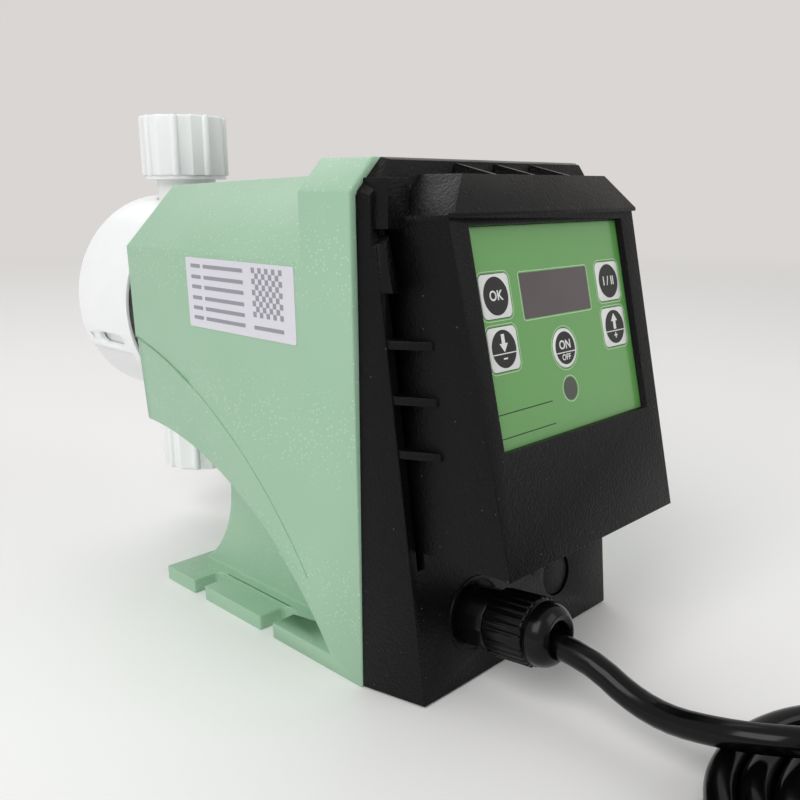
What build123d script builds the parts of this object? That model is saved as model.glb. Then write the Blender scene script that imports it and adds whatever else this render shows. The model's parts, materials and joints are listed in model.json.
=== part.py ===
from build123d import *
import os
from math import atan2, cos, degrees, hypot, pi, radians, sin, tan

os.makedirs("parts", exist_ok=True)

# Diaphragm metering pump, millimetres, +Z up.
# Origin: floor level, centre of the four foot slots. The control panel faces -Y, the pump head +Y.
# "Depth" is the distance behind the joint plane between the control cover and the housing.

# --- housing ---
joint_y = -70.5  # plane where the control cover meets the housing
foot_half_width = 55.4
shoulder_half_width = 58.0
collar_height = 159.7
collar_chamfer = 9.0
collar_depth = 21.7
body_depth = 122.0
body_shoulder_z = 131.2
body_top_z = 156.0
head_end_top_z = 152.5
housing_wall = 3.0
head_wall = 4.0
foot_length = 114.6
foot_thickness = 5.7
slot_pitch = 42.0
slot_width = 6.9
slot_length = 11.8
pillar_half_width = 39.0
arch_start = 15.4
arch_mid = (60.0, 48.4)
arch_end_z = 65.0
heel_foot_depth = 111.5
heel_mid = (91.5, 38.0)
heel_top = (100.5, 67.0)
crease_start = (25.0, 30.0)
crease_mid = (66.5, 72.8)
crease_end_z = 98.0
facet_recess_top = 0.9
facet_recess_bottom = 2.4

# --- pump head ---
head_z = 103.5
spacer_radius = 44.0
spacer_length = 27.5
head_radius = 45.0
head_cover_length = 43.0
head_cover_wall = 2.6
head_cover_gap = 0.3
liquid_end_length = 30.0
valve_setback = 48.0
head_bolt_offset = 25.5
head_bolt_radius = 2.5
bolt_clearance = 0.25

# --- control cover ---
cover_half_width = 55.0
cover_draft = 0.228
cover_floor_gap = 0.6
cover_foot_depth = 22.0
cover_slope = 0.1178
cover_wall = 3.0
hood_back_half_width = 46.6
hood_front_half_width = 44.4
hood_reach = 48.1
hood_bottom_z = 48.2
hood_face_top_z = 144.3
hood_face_top_reach = 24.5
hood_top_z = 155.2
hood_top_half_width = 35.0
visor_overhang = 1.8
visor_lip = 1.0
visor_top_reach = 20.0
channel_width = 3.6
rim_width = 3.0

# --- panel, measured up the hood's face from its lower edge ---
panel_half_width = 38.0
panel_low = 34.7
panel_high = 96.6
panel_recess = 3.3
overlay_thickness = 1.0
key_width = 13.0
key_height = 12.4
key_corner = 2.0
key_column = 28.7
key_row_high = 77.4
key_row_low = 62.7
start_key_row = 59.4
start_key_radius = 6.0
key_gap = 0.15
key_travel = 0.5
key_proud = 0.2
key_stem_radius = 2.0
indicator_row = 47.1
indicator_radius = 3.5
display_width = 34.0
display_low = 69.8
display_high = 82.9
board_gap = 6.0
board_thickness = 1.6


def behind(depth):
    """Plane at a depth behind the joint, facing the pump head."""
    return Plane(origin=(0, joint_y + depth, 0), x_dir=(-1, 0, 0), z_dir=(0, 1, 0))


def outline(half_low, half_high, shoulder_z, top_z, low_z=0.0):
    """Closed outline of a section: leaning sides, 45 degree shoulders and a flat top."""
    run = top_z - shoulder_z
    right = [(half_low, low_z), (half_high, shoulder_z), (half_high - run, top_z)]
    left = [(-x, z) for x, z in reversed(right)]
    with BuildLine() as line:
        Polyline(*right, *left, close=True)
    return line.line


def side_half_width(z):
    """Half width of the leaning housing wall at a height."""
    lean = (shoulder_half_width - foot_half_width) / (collar_height - collar_chamfer)
    return foot_half_width + lean * z


def depth_point(point):
    """Turn (depth, z) into the (y, z) of a side-view sketch."""
    return joint_y + point[0], point[1]


collar_line = outline(
    foot_half_width, shoulder_half_width, collar_height - collar_chamfer, collar_height
)
body_line = outline(foot_half_width, side_half_width(body_shoulder_z), body_shoulder_z, body_top_z)
arch_end = (body_depth, arch_end_z)
valve_depth = body_depth + valve_setback
over = 5.0  # how far cutting tools reach past what they cut

# ---------------------------------------------------------------- housing
with BuildPart() as housing_form:
    with BuildSketch(behind(0)):
        make_face(collar_line)
    extrude(amount=collar_depth)
    with BuildSketch(behind(0)):
        make_face(body_line)
    extrude(amount=body_depth)
    with BuildSketch(Plane.YZ):  # top falls towards the head
        with BuildLine():
            Polyline(
                depth_point((collar_depth, body_top_z)),
                depth_point((body_depth, head_end_top_z)),
                depth_point((body_depth + over, head_end_top_z)),
                depth_point((body_depth + over, collar_height)),
                depth_point((collar_depth, collar_height)),
                close=True,
            )
        make_face()
    extrude(amount=foot_half_width, both=True, mode=Mode.SUBTRACT)
    with BuildSketch(Plane.YZ):  # arched skirts over the foot
        with BuildLine():
            ThreePointArc(
                depth_point((arch_start, foot_thickness)),
                depth_point(arch_mid),
                depth_point(arch_end),
            )
            Polyline(
                depth_point(arch_end),
                depth_point((body_depth + over, arch_end_z)),
                depth_point((body_depth + over, -over)),
                depth_point((foot_length, -over)),
                depth_point((foot_length, foot_thickness)),
                depth_point((arch_start, foot_thickness)),
            )
        make_face()
    extrude(amount=shoulder_half_width + over, both=True, mode=Mode.SUBTRACT)
    with BuildSketch(Plane.YZ):  # narrow pillar with its C-shaped heel
        with BuildLine():
            ThreePointArc(
                depth_point((heel_foot_depth, foot_thickness)),
                depth_point(heel_mid),
                depth_point(heel_top),
            )
            Polyline(
                depth_point(heel_top),
                depth_point((arch_start, heel_top[1])),
                depth_point((arch_start, foot_thickness / 2)),
                depth_point((heel_foot_depth, foot_thickness / 2)),
                depth_point((heel_foot_depth, foot_thickness)),
            )
        make_face()
    extrude(amount=pillar_half_width, both=True)

# facet below the crease, a shallow wedge that deepens towards the head
crease_end = (body_depth, crease_end_z)
with BuildPart() as facet_tool:
    with BuildSketch(Plane.YZ.offset(foot_half_width - over)):
        with BuildLine():
            ThreePointArc(
                depth_point(crease_start), depth_point(crease_mid), depth_point(crease_end)
            )
            Polyline(
                depth_point(crease_end),
                depth_point((body_depth + over, crease_end_z)),
                depth_point((body_depth + over, arch_end_z - over)),
                depth_point(crease_start),
            )
        make_face()
    extrude(amount=2 * over + shoulder_half_width - foot_half_width)
facet_origin = Vector(
    side_half_width(crease_start[1]), joint_y + crease_start[0], crease_start[1]
)
facet_high = Vector(
    side_half_width(crease_end_z) - facet_recess_top, joint_y + body_depth, crease_end_z
)
facet_low = Vector(
    side_half_width(arch_end_z) - facet_recess_bottom, joint_y + body_depth, arch_end_z
)
facet_normal = (facet_high - facet_origin).cross(facet_low - facet_origin)
if facet_normal.X < 0:
    facet_normal = -facet_normal
facet_plane = Plane(origin=facet_origin, z_dir=facet_normal)
with BuildPart() as facet_cut:
    add(facet_tool.part)
    split(bisect_by=facet_plane, keep=Keep.TOP)

# hollow inside the shell
inner_arch_end = (body_depth - head_wall, arch_end_z + housing_wall)
with BuildPart() as cavity:
    with BuildSketch(behind(-over)):
        make_face(body_line)
        offset(amount=-housing_wall, mode=Mode.REPLACE, kind=Kind.INTERSECTION)
    extrude(amount=over + body_depth - head_wall)
    with BuildSketch(behind(-over)):
        make_face(collar_line)
        offset(amount=-housing_wall, mode=Mode.REPLACE, kind=Kind.INTERSECTION)
    extrude(amount=over + collar_depth - housing_wall)
    with BuildSketch(Plane.YZ):
        with BuildLine():
            Polyline(
                depth_point((collar_depth, body_top_z - housing_wall)),
                depth_point((body_depth, head_end_top_z - housing_wall)),
                depth_point((body_depth, collar_height)),
                depth_point((collar_depth, collar_height)),
                close=True,
            )
        make_face()
    extrude(amount=foot_half_width, both=True, mode=Mode.SUBTRACT)
    with BuildSketch(Plane.YZ):
        with BuildLine():
            ThreePointArc(
                depth_point((arch_start - housing_wall, foot_thickness)),
                depth_point((arch_mid[0] - housing_wall * 0.65, arch_mid[1] + housing_wall * 0.75)),
                depth_point(inner_arch_end),
            )
            Polyline(
                depth_point(inner_arch_end),
                depth_point((body_depth, arch_end_z + housing_wall)),
                depth_point((body_depth, -over)),
                depth_point((-2 * over, -over)),
                depth_point((-2 * over, foot_thickness)),
                depth_point((arch_start - housing_wall, foot_thickness)),
            )
        make_face()
    extrude(amount=shoulder_half_width, both=True, mode=Mode.SUBTRACT)
    with BuildSketch(Plane.YZ):
        with BuildLine():
            ThreePointArc(
                depth_point((heel_foot_depth - housing_wall * 1.6, foot_thickness)),
                depth_point((heel_mid[0] - housing_wall, heel_mid[1])),
                depth_point((heel_top[0] - housing_wall, heel_top[1] + housing_wall)),
            )
            Polyline(
                depth_point((heel_top[0] - housing_wall, heel_top[1] + housing_wall)),
                depth_point((0, heel_top[1] + housing_wall)),
                depth_point((0, foot_thickness)),
                depth_point((heel_foot_depth - housing_wall * 1.6, foot_thickness)),
            )
        make_face()
    extrude(amount=pillar_half_width - housing_wall, both=True)

# posts for the screws that hold the control cover, entered from behind
screw_seat = 12.0
screw_radius = 1.75
screw_clearance = 0.35
screw_head_radius = 3.3
screw_head_height = 2.4
screw_reach = 7.0
post_radius = 5.0
screw_high = (48.0, 147.5)
screw_low = (46.5, 16.0)
screw_places = [
    (sign * place[0], place[1]) for sign in (-1, 1) for place in (screw_low, screw_high)
]
post_length = 26.0
with BuildPart() as posts:
    with BuildSketch(behind(0)):
        with Locations(*screw_places):
            Circle(post_radius)
    extrude(amount=post_length)
    add(housing_form.part, mode=Mode.INTERSECT)

# power board standoffs on the pillar's floor
power_board_z = 13.0
power_board_depths = (24.0, 84.0)
power_board_half_width = 32.0
standoff_radius = 3.0
standoff_hole_radius = 1.2
standoff_inset = 4.0
power_hole_places = [
    (sign * (power_board_half_width - standoff_inset), joint_y + depth)
    for sign in (-1, 1)
    for depth in (power_board_depths[0] + standoff_inset, power_board_depths[1] - standoff_inset)
]

plunger_bore = 20.0
head_axis_plane = Plane(
    origin=(0, joint_y + body_depth, head_z), x_dir=(-1, 0, 0), z_dir=(0, 1, 0)
)
head_bolt_places = [
    (sx * head_bolt_offset, sz * head_bolt_offset) for sx in (-1, 1) for sz in (-1, 1)
]
slot_depth_y = [-slot_pitch / 2, slot_pitch / 2]
with BuildPart() as housing:
    add(housing_form.part)
    add(cavity.part, mode=Mode.SUBTRACT)
    add(facet_cut.part, mode=Mode.SUBTRACT)
    add(mirror(facet_cut.part, about=Plane.YZ), mode=Mode.SUBTRACT)
    add(posts.part)
    with BuildSketch(Plane.XY.offset(foot_thickness)):
        with Locations(*power_hole_places):
            Circle(standoff_radius)
    extrude(amount=power_board_z - foot_thickness)
    with BuildSketch(Plane.XY.offset(power_board_z)):
        with Locations(*power_hole_places):
            Circle(standoff_hole_radius)
    extrude(amount=-(power_board_z - foot_thickness), mode=Mode.SUBTRACT)
    with BuildSketch(behind(-over)):
        with Locations(*screw_places):
            Circle(screw_radius + screw_clearance)
    extrude(amount=post_length + 2 * over, mode=Mode.SUBTRACT)
    with BuildSketch(behind(screw_seat)):
        with Locations(*screw_places):
            Circle(screw_head_radius + screw_clearance)
    extrude(amount=2 * post_length, mode=Mode.SUBTRACT)
    with BuildSketch(head_axis_plane):
        Circle(plunger_bore)
        with Locations(*head_bolt_places):
            Circle(head_bolt_radius + bolt_clearance)
    extrude(amount=-2 * head_wall, mode=Mode.SUBTRACT)
    slot_straight = slot_length - slot_width / 2
    with BuildSketch(Plane.XY.offset(-over)):  # foot slots, open at the outer edge
        for side in (-1, 1):
            for y in slot_depth_y:
                with Locations((side * (foot_half_width - slot_straight), y)):
                    Circle(slot_width / 2)
                with Locations((side * (foot_half_width - slot_straight / 2 + over / 2), y)):
                    Rectangle(slot_straight + over, slot_width)
    extrude(amount=foot_thickness + over, mode=Mode.SUBTRACT)
housing.part.label = "housing"
export_step(housing.part, "parts/housing.step")

# ---------------------------------------------------------------- control cover
face_angle = atan2(hood_reach - hood_face_top_reach, hood_face_top_z - hood_bottom_z)
face = Plane(
    origin=(0, joint_y - hood_reach, hood_bottom_z),
    x_dir=(1, 0, 0),
    z_dir=(0, -cos(face_angle), sin(face_angle)),
)
front_angle = atan2(cover_slope, 1.0)
base_front = Plane(
    origin=(0, joint_y - cover_foot_depth, 0),
    x_dir=(1, 0, 0),
    z_dir=(0, -cos(front_angle), sin(front_angle)),
)
cover_top_z = collar_height
cover_chamfer = collar_chamfer
floor_front_z = 43.0  # top of the plain front below the hood


def front_reach(z):
    """How far the base's front stands before the joint plane at a height."""
    return cover_foot_depth - cover_slope * z


def base_section(reach):
    """Outline of the cover's base at a distance before the joint plane."""
    shrink = cover_draft * reach
    half = cover_half_width - shrink
    top = cover_top_z - shrink
    return outline(half, half, top - cover_chamfer, top, cover_floor_gap)


def hood_form(inset=0.0, face_inset=0.0):
    """Hood with its slanted face, leaning sides and shouldered top, shrunk by its walls."""
    back = joint_y + (over if inset else 0.0)
    face_cut = face_inset / cos(face_angle)
    low = hood_bottom_z + inset
    top_reach = visor_top_reach - 0.5 * face_inset
    with BuildPart() as form:
        with BuildSketch(Plane.YZ):
            with BuildLine():
                Polyline(
                    (back, low),
                    (joint_y - hood_reach + face_cut + tan(face_angle) * inset, low),
                    (joint_y - hood_face_top_reach + face_cut, hood_face_top_z),
                    (joint_y - top_reach, hood_top_z - inset),
                    (back, hood_top_z - inset),
                    close=True,
                )
            make_face()
        extrude(amount=cover_half_width, both=True)
        with BuildSketch(Plane.XY):
            with BuildLine():
                Polyline(
                    (-hood_back_half_width + inset, back),
                    (hood_back_half_width - inset, back),
                    (hood_front_half_width - inset, joint_y - hood_reach),
                    (-hood_front_half_width + inset, joint_y - hood_reach),
                    close=True,
                )
            make_face()
        extrude(amount=2 * cover_top_z, mode=Mode.INTERSECT)
        with BuildSketch(behind(-2 * hood_reach)):
            slope_foot = hood_top_z - (cover_half_width - hood_top_half_width)
            shoulder = 0.6 * inset
            with BuildLine():
                Polyline(
                    (-cover_half_width, 0),
                    (cover_half_width, 0),
                    (cover_half_width, slope_foot - shoulder),
                    (hood_top_half_width - shoulder, hood_top_z),
                    (-hood_top_half_width + shoulder, hood_top_z),
                    (-cover_half_width, slope_foot - shoulder),
                    close=True,
                )
            make_face()
        extrude(amount=3 * hood_reach, mode=Mode.INTERSECT)
    return form.part


panel_floor = face.offset(-panel_recess)
panel_mid = (panel_low + panel_high) / 2
panel_size = (2 * panel_half_width, panel_high - panel_low)
display_mid = (display_low + display_high) / 2
display_size = (display_width, display_high - display_low)
key_places = {
    "key_set": (-key_column, key_row_high),
    "key_mode": (key_column, key_row_high),
    "key_down": (-key_column, key_row_low),
    "key_up": (key_column, key_row_low),
    "key_start_stop": (0, start_key_row),
}


def key_shape(name, grow=0.0):
    """Sketch of a key's face, grown by a clearance."""
    if name == "key_start_stop":
        Circle(start_key_radius + grow)
    else:
        RectangleRounded(key_width + 2 * grow, key_height + 2 * grow, key_corner + grow)


# cable gland and knock-out on the front below the hood
gland_x = -24.0
gland_height = 21.6  # up the base's front
gland_thread_radius = 8.0
gland_clearance = 0.2
gland_ring_radius = 12.5
gland_room_low = 6.0
gland_room_high = 54.0
gland_room_half_width = 38.0
knockout_x = 20.3
knockout_height = 20.8
knockout_radius = 7.4
knockout_gap = 0.3
knockout_lip = 1.6
gland_plane = Plane(
    origin=base_front.from_local_coords((gland_x, gland_height, 0)),
    x_dir=(1, 0, 0),
    z_dir=base_front.z_dir,
)

fin_height_pitch = 15.5
fin_top_height = 110.0
fin_thickness = 2.4
side_fin_heights = [fin_top_height - fin_height_pitch * i for i in range(3)]
top_fin_pitch = 18.2
top_fin_thickness = 1.6
boss_block_low = 141.0
boss_block_high = 154.2
boss_block_inner = 44.5
boss_reach = 9.5
rim_wedge_low = 124.2
rim_wedge_extra = 4.6

gasket_outer = 0.9
gasket_inner = 2.7
gasket_thickness = 0.8
board_offset = panel_recess + cover_wall + board_gap
board_size = (70.0, 58.0)
board_post_radius = 3.0
board_hole_radius = 1.1
board_post_inset = 3.6
board_post_places = [
    (sx * (board_size[0] / 2 - board_post_inset), panel_mid + sy * (board_size[1] / 2 - board_post_inset))
    for sx in (-1, 1)
    for sy in (-1, 1)
]
key_pocket = key_travel + 0.3

with BuildPart() as control_cover:
    # drafted base, cut by its sloping front
    with BuildSketch(Plane.XZ.offset(-joint_y)):
        make_face(base_section(0))
    with BuildSketch(Plane.XZ.offset(-joint_y + cover_foot_depth + over)):
        make_face(base_section(cover_foot_depth + over))
    loft(ruled=True)
    split(bisect_by=base_front, keep=Keep.BOTTOM)
    # side channels between rim and hood
    for side in (-1, 1):
        with BuildSketch(Plane.XY.offset(floor_front_z)):
            with BuildLine():
                Polyline(
                    (side * hood_back_half_width, joint_y - cover_wall + 1),
                    (side * (cover_half_width - rim_width - 0.4), joint_y - cover_wall + 1),
                    (side * (cover_half_width - rim_width - cover_draft * 24), joint_y - 24),
                    (side * hood_front_half_width, joint_y - 24),
                    close=True,
                )
            make_face()
        extrude(amount=boss_block_low - floor_front_z, mode=Mode.SUBTRACT)
    # rim wedge above the step, parallel to the hood's face
    for side in (-1, 1):
        wedge_outer = cover_half_width - cover_draft * 5
        with BuildSketch(Plane.YZ.offset(side * (wedge_outer - rim_width))):
            with BuildLine():
                top_reach = front_reach(cover_top_z - cover_chamfer)
                Polyline(
                    (joint_y, rim_wedge_low),
                    (joint_y - front_reach(rim_wedge_low) - rim_wedge_extra, rim_wedge_low),
                    (joint_y - top_reach - 1, cover_top_z - cover_chamfer - 0.5),
                    (joint_y, cover_top_z - cover_chamfer - 0.5),
                    close=True,
                )
            make_face()
        extrude(amount=side * (rim_width - 0.6))
    add(hood_form())
    # visor lip over the panel
    with BuildSketch(Plane.YZ):
        with BuildLine():
            lip_reach = hood_face_top_reach + visor_overhang
            Polyline(
                (joint_y - hood_face_top_reach + over, hood_face_top_z),
                (joint_y - lip_reach, hood_face_top_z),
                (joint_y - lip_reach, hood_face_top_z + visor_lip),
                (joint_y - visor_top_reach, hood_top_z),
                (joint_y - visor_top_reach + over, hood_top_z),
                close=True,
            )
        make_face()
    visor_half_width = hood_top_half_width + hood_top_z - hood_face_top_z - visor_lip
    extrude(amount=visor_half_width, both=True)
    with BuildSketch(behind(-hood_reach)):
        for side in (-1, 1):
            with BuildLine():
                Polyline(
                    (side * hood_top_half_width, hood_top_z),
                    (side * cover_half_width, hood_top_z),
                    (side * cover_half_width, hood_top_z - cover_half_width + hood_top_half_width),
                    close=True,
                )
            make_face()
    extrude(amount=hood_reach - front_reach(cover_top_z) - 1, mode=Mode.SUBTRACT)
    # corner blocks that take the upper screws
    for side in (-1, 1):
        with BuildSketch(Plane.XZ.offset(-joint_y)):
            with Locations((side * (boss_block_inner + 52.6) / 2, (boss_block_low + boss_block_high) / 2)):
                Rectangle(52.6 - boss_block_inner, boss_block_high - boss_block_low)
        extrude(amount=boss_reach)
    # gusset fins: three on each side, three on top
    for side in (-1, 1):
        for height in side_fin_heights:
            root = front_reach(height)
            with BuildSketch(Plane.XY.offset(height - fin_thickness / 2)):
                with BuildLine():
                    Polyline(
                        (side * (hood_front_half_width - 1), joint_y - 3),
                        (side * (cover_half_width - cover_draft * root - 0.6), joint_y - 3),
                        (side * (cover_half_width - cover_draft * root - 0.6), joint_y - root - 1),
                        (side * (hood_back_half_width - 0.4), joint_y - root - 11),
                        (side * (hood_front_half_width - 1), joint_y - root - 11),
                        close=True,
                    )
                make_face()
            extrude(amount=fin_thickness)
    for i in (-1, 0, 1):
        with BuildSketch(Plane.YZ.offset(i * top_fin_pitch - top_fin_thickness / 2)):
            with BuildLine():
                Polyline(
                    (joint_y - 1, hood_top_z - 1),
                    (joint_y - 1, cover_top_z - 1.2),
                    (joint_y - front_reach(cover_top_z), cover_top_z - 1.2),
                    (joint_y - visor_top_reach + 2, hood_top_z),
                    (joint_y - visor_top_reach + 2, hood_top_z - 1),
                    close=True,
                )
            make_face()
        extrude(amount=top_fin_thickness)
    # hollow behind the hood, open to the housing, with room for the gland below
    add(hood_form(cover_wall, panel_recess + cover_wall), mode=Mode.SUBTRACT)
    with BuildSketch(base_front.offset(-cover_wall)):
        with Locations((0, (gland_room_low + gland_room_high) / 2)):
            Rectangle(2 * gland_room_half_width, gland_room_high - gland_room_low)
    extrude(amount=-cover_foot_depth, mode=Mode.SUBTRACT)
    # recess and openings of the panel
    with BuildSketch(panel_floor):
        with Locations((0, panel_mid)):
            Rectangle(*panel_size)
    extrude(amount=panel_recess + 2 * visor_lip, mode=Mode.SUBTRACT)
    with BuildSketch(panel_floor):
        with Locations((0, display_mid)):
            Rectangle(*[length - 1.0 for length in display_size])
        with Locations((0, indicator_row)):
            Circle(indicator_radius - 0.5)
        for name, place in key_places.items():
            with Locations(place):
                Circle(key_stem_radius + key_gap)
    extrude(amount=-2 * cover_wall, mode=Mode.SUBTRACT)
    with BuildSketch(panel_floor):
        for name, place in key_places.items():
            with Locations(place):
                key_shape(name, key_gap)
    extrude(amount=-key_pocket, mode=Mode.SUBTRACT)
    # posts for the control board
    with BuildSketch(face.offset(-panel_recess - cover_wall + 1)):
        with Locations(*board_post_places):
            Circle(board_post_radius)
    extrude(amount=-board_gap - 1)
    with BuildSketch(face.offset(-board_offset)):
        with Locations(*board_post_places):
            Circle(board_hole_radius)
    extrude(amount=board_gap + 1, mode=Mode.SUBTRACT)
    # gland hole with its raised ring, and the knock-out
    with BuildSketch(gland_plane):
        Circle(gland_ring_radius)
        Circle(gland_ring_radius - 1.2, mode=Mode.SUBTRACT)
    extrude(amount=0.5)
    with BuildSketch(gland_plane):
        Circle(gland_thread_radius + gland_clearance)
    extrude(amount=-4 * cover_wall, mode=Mode.SUBTRACT)
    with BuildSketch(base_front):
        with Locations((knockout_x, knockout_height)):
            Circle(knockout_radius + knockout_gap)
        with Locations((6.4, 34.0)):
            Rectangle(0.9, 18.0)
    extrude(amount=-0.8, mode=Mode.SUBTRACT)
    with BuildSketch(base_front):
        with Locations((knockout_x, knockout_height)):
            Circle(knockout_radius + knockout_gap)
    extrude(amount=-4 * cover_wall, mode=Mode.SUBTRACT)
    # screw pilots and the seat of the gasket
    with BuildSketch(behind(over)):
        with Locations(*screw_places):
            Circle(screw_radius)
    extrude(amount=-over - screw_reach - 0.5, mode=Mode.SUBTRACT)
    with BuildSketch(Plane.XZ.offset(-joint_y)):
        make_face(base_section(0))
        offset(amount=-gasket_outer, mode=Mode.REPLACE, kind=Kind.INTERSECTION)
        with BuildSketch(Plane.XZ.offset(-joint_y), mode=Mode.SUBTRACT):
            make_face(base_section(0))
            offset(amount=-gasket_inner, mode=Mode.REPLACE, kind=Kind.INTERSECTION)
    extrude(amount=gasket_thickness, mode=Mode.SUBTRACT)
control_cover.part.label = "control_cover"
export_step(control_cover.part, "parts/control_cover.step")

# ---------------------------------------------------------------- cover gasket and screws
with BuildPart() as cover_gasket:
    with BuildSketch(Plane.XZ.offset(-joint_y)):
        make_face(base_section(0))
        offset(amount=-gasket_outer, mode=Mode.REPLACE, kind=Kind.INTERSECTION)
        with BuildSketch(Plane.XZ.offset(-joint_y), mode=Mode.SUBTRACT):
            make_face(base_section(0))
            offset(amount=-gasket_inner, mode=Mode.REPLACE, kind=Kind.INTERSECTION)
    extrude(amount=gasket_thickness)
cover_gasket.part.label = "cover_gasket"
export_step(cover_gasket.part, "parts/cover_gasket.step")

with BuildPart() as cover_screws:
    with BuildSketch(behind(screw_seat)):
        with Locations(*screw_places):
            Circle(screw_head_radius)
    extrude(amount=screw_head_height)
    with BuildSketch(behind(screw_seat + screw_head_height)):
        with Locations(*screw_places):
            RegularPolygon(screw_head_radius * 0.45, 6)
    extrude(amount=-screw_head_height * 0.6, mode=Mode.SUBTRACT)
    with BuildSketch(behind(screw_seat)):
        with Locations(*screw_places):
            Circle(screw_radius)
    extrude(amount=-screw_seat - screw_reach)
cover_screws.part.label = "cover_screws"
export_step(cover_screws.part, "parts/cover_screws.step")

# ---------------------------------------------------------------- control panel
overlay_gap = 0.1
window_gap = 0.05
opening_lip = 0.5  # how far the cover's own openings stand inside the window and lens
lens_stem_length = 4.0
with BuildPart() as keypad_overlay:
    with BuildSketch(panel_floor):
        with Locations((0, panel_mid)):
            Rectangle(*[length - 2 * overlay_gap for length in panel_size])
        with Locations((0, display_mid)):
            Rectangle(*display_size, mode=Mode.SUBTRACT)
        with Locations((0, indicator_row)):
            Circle(indicator_radius, mode=Mode.SUBTRACT)
        for name, place in key_places.items():
            with BuildSketch(panel_floor, mode=Mode.SUBTRACT):
                with Locations(place):
                    key_shape(name, key_gap)
    extrude(amount=overlay_thickness)
keypad_overlay.part.label = "keypad_overlay"
export_step(keypad_overlay.part, "parts/keypad_overlay.step")

with BuildPart() as display_window:
    with BuildSketch(panel_floor):
        with Locations((0, display_mid)):
            Rectangle(*[length - 2 * window_gap for length in display_size])
    extrude(amount=overlay_thickness)
display_window.part.label = "display_window"
export_step(display_window.part, "parts/display_window.step")

with BuildPart() as indicator_lens:
    with BuildSketch(panel_floor):
        with Locations((0, indicator_row)):
            Circle(indicator_radius - window_gap)
    extrude(amount=overlay_thickness)
    with BuildSketch(panel_floor):
        with Locations((0, indicator_row)):
            Circle(indicator_radius - opening_lip - window_gap)
    extrude(amount=-lens_stem_length)
indicator_lens.part.label = "indicator_lens"
export_step(indicator_lens.part, "parts/indicator_lens.step")

switch_height = 3.8
switch_size = 6.0
switch_button_radius = 1.7
switch_button_height = 1.2
collar_thickness = 0.8
collar_radius = key_stem_radius + 0.7
collar_gap = 0.05
stem_end = board_offset - switch_height - key_travel - collar_gap


def make_key(name):
    """Key plate with its guided stem and the snap collar that holds it behind the wall."""
    place = key_places[name]
    with BuildPart() as key:
        with BuildSketch(panel_floor):
            with Locations(place):
                key_shape(name)
        extrude(amount=overlay_thickness + key_proud)
        with BuildSketch(panel_floor):
            with Locations(place):
                Circle(key_stem_radius)
        extrude(amount=panel_recess - stem_end)
        with BuildSketch(panel_floor.offset(-cover_wall - collar_gap)):
            with Locations(place):
                Circle(collar_radius)
        extrude(amount=-collar_thickness)
    key.part.label = name
    export_step(key.part, "parts/" + name + ".step")
    return key


keys = [make_key(name) for name in key_places]

with BuildPart() as control_board:
    with BuildSketch(face.offset(-board_offset)):
        with Locations((0, panel_mid)):
            Rectangle(*board_size)
        with Locations(*board_post_places):
            Circle(board_hole_radius + key_gap, mode=Mode.SUBTRACT)
    extrude(amount=-board_thickness)
control_board.part.label = "control_board"
export_step(control_board.part, "parts/control_board.step")

board_screw_head_radius = 2.2
board_screw_head_height = 1.6
with BuildPart() as board_screws:
    with BuildSketch(face.offset(-board_offset - board_thickness)):
        with Locations(*board_post_places):
            Circle(board_screw_head_radius)
    extrude(amount=-board_screw_head_height)
    with BuildSketch(face.offset(-board_offset - board_thickness)):
        with Locations(*board_post_places):
            Circle(board_hole_radius)
    extrude(amount=board_thickness + board_gap - 1)
board_screws.part.label = "board_screws"
export_step(board_screws.part, "parts/board_screws.step")

with BuildPart() as key_switches:
    with BuildSketch(face.offset(-board_offset)):
        with Locations(*key_places.values()):
            Rectangle(switch_size, switch_size)
    extrude(amount=switch_height - switch_button_height)
    with BuildSketch(face.offset(-board_offset)):
        with Locations(*key_places.values()):
            Circle(switch_button_radius)
    extrude(amount=switch_height)
key_switches.part.label = "key_switches"
export_step(key_switches.part, "parts/key_switches.step")

display_bezel = 3.0
with BuildPart() as display_module:
    with BuildSketch(face.offset(-board_offset)):
        with Locations((0, display_mid)):
            Rectangle(*[length + display_bezel for length in display_size])
    extrude(amount=board_offset - panel_recess - cover_wall - 0.4)
    with BuildSketch(face.offset(-board_offset)):
        with Locations((0, display_mid)):
            Rectangle(*[length - 2 * opening_lip - 0.4 for length in display_size])
    extrude(amount=board_offset - panel_recess - window_gap)
display_module.part.label = "display_module"
export_step(display_module.part, "parts/display_module.step")

# ---------------------------------------------------------------- power board
with BuildPart() as power_board:
    board_mid_y = joint_y + sum(power_board_depths) / 2
    with BuildSketch(Plane.XY.offset(power_board_z)):
        with Locations((0, board_mid_y)):
            Rectangle(2 * power_board_half_width, power_board_depths[1] - power_board_depths[0])
        with Locations(*power_hole_places):
            Circle(standoff_hole_radius + key_gap, mode=Mode.SUBTRACT)
    extrude(amount=board_thickness)
power_board.part.label = "power_board"
export_step(power_board.part, "parts/power_board.step")

board_top = Plane.XY.offset(power_board_z + board_thickness)
filter_width = 24.0
filter_length = 20.0
filter_height = 14.0
terminal_width = 22.0
terminal_length = 9.0
terminal_setback = 23.0
capacitor_radius = 5.0
capacitor_height = 17.0
capacitor_pitch = 13.0
with BuildPart() as power_components:
    with BuildSketch(board_top):  # line filter and terminal block
        with Locations((-filter_width / 2 - 1, board_mid_y + filter_length / 2 + 2)):
            Rectangle(filter_width, filter_length)
        with Locations((capacitor_pitch + 1, board_mid_y - terminal_setback)):
            Rectangle(terminal_width, terminal_length)
    extrude(amount=filter_height)
    with BuildSketch(board_top):  # smoothing capacitors
        with Locations(
            (8, board_mid_y + 14), (8 + capacitor_pitch, board_mid_y + 14), (-16, board_mid_y - 12)
        ):
            Circle(capacitor_radius)
    extrude(amount=capacitor_height)
power_components.part.label = "power_components"
export_step(power_components.part, "parts/power_components.step")

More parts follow.
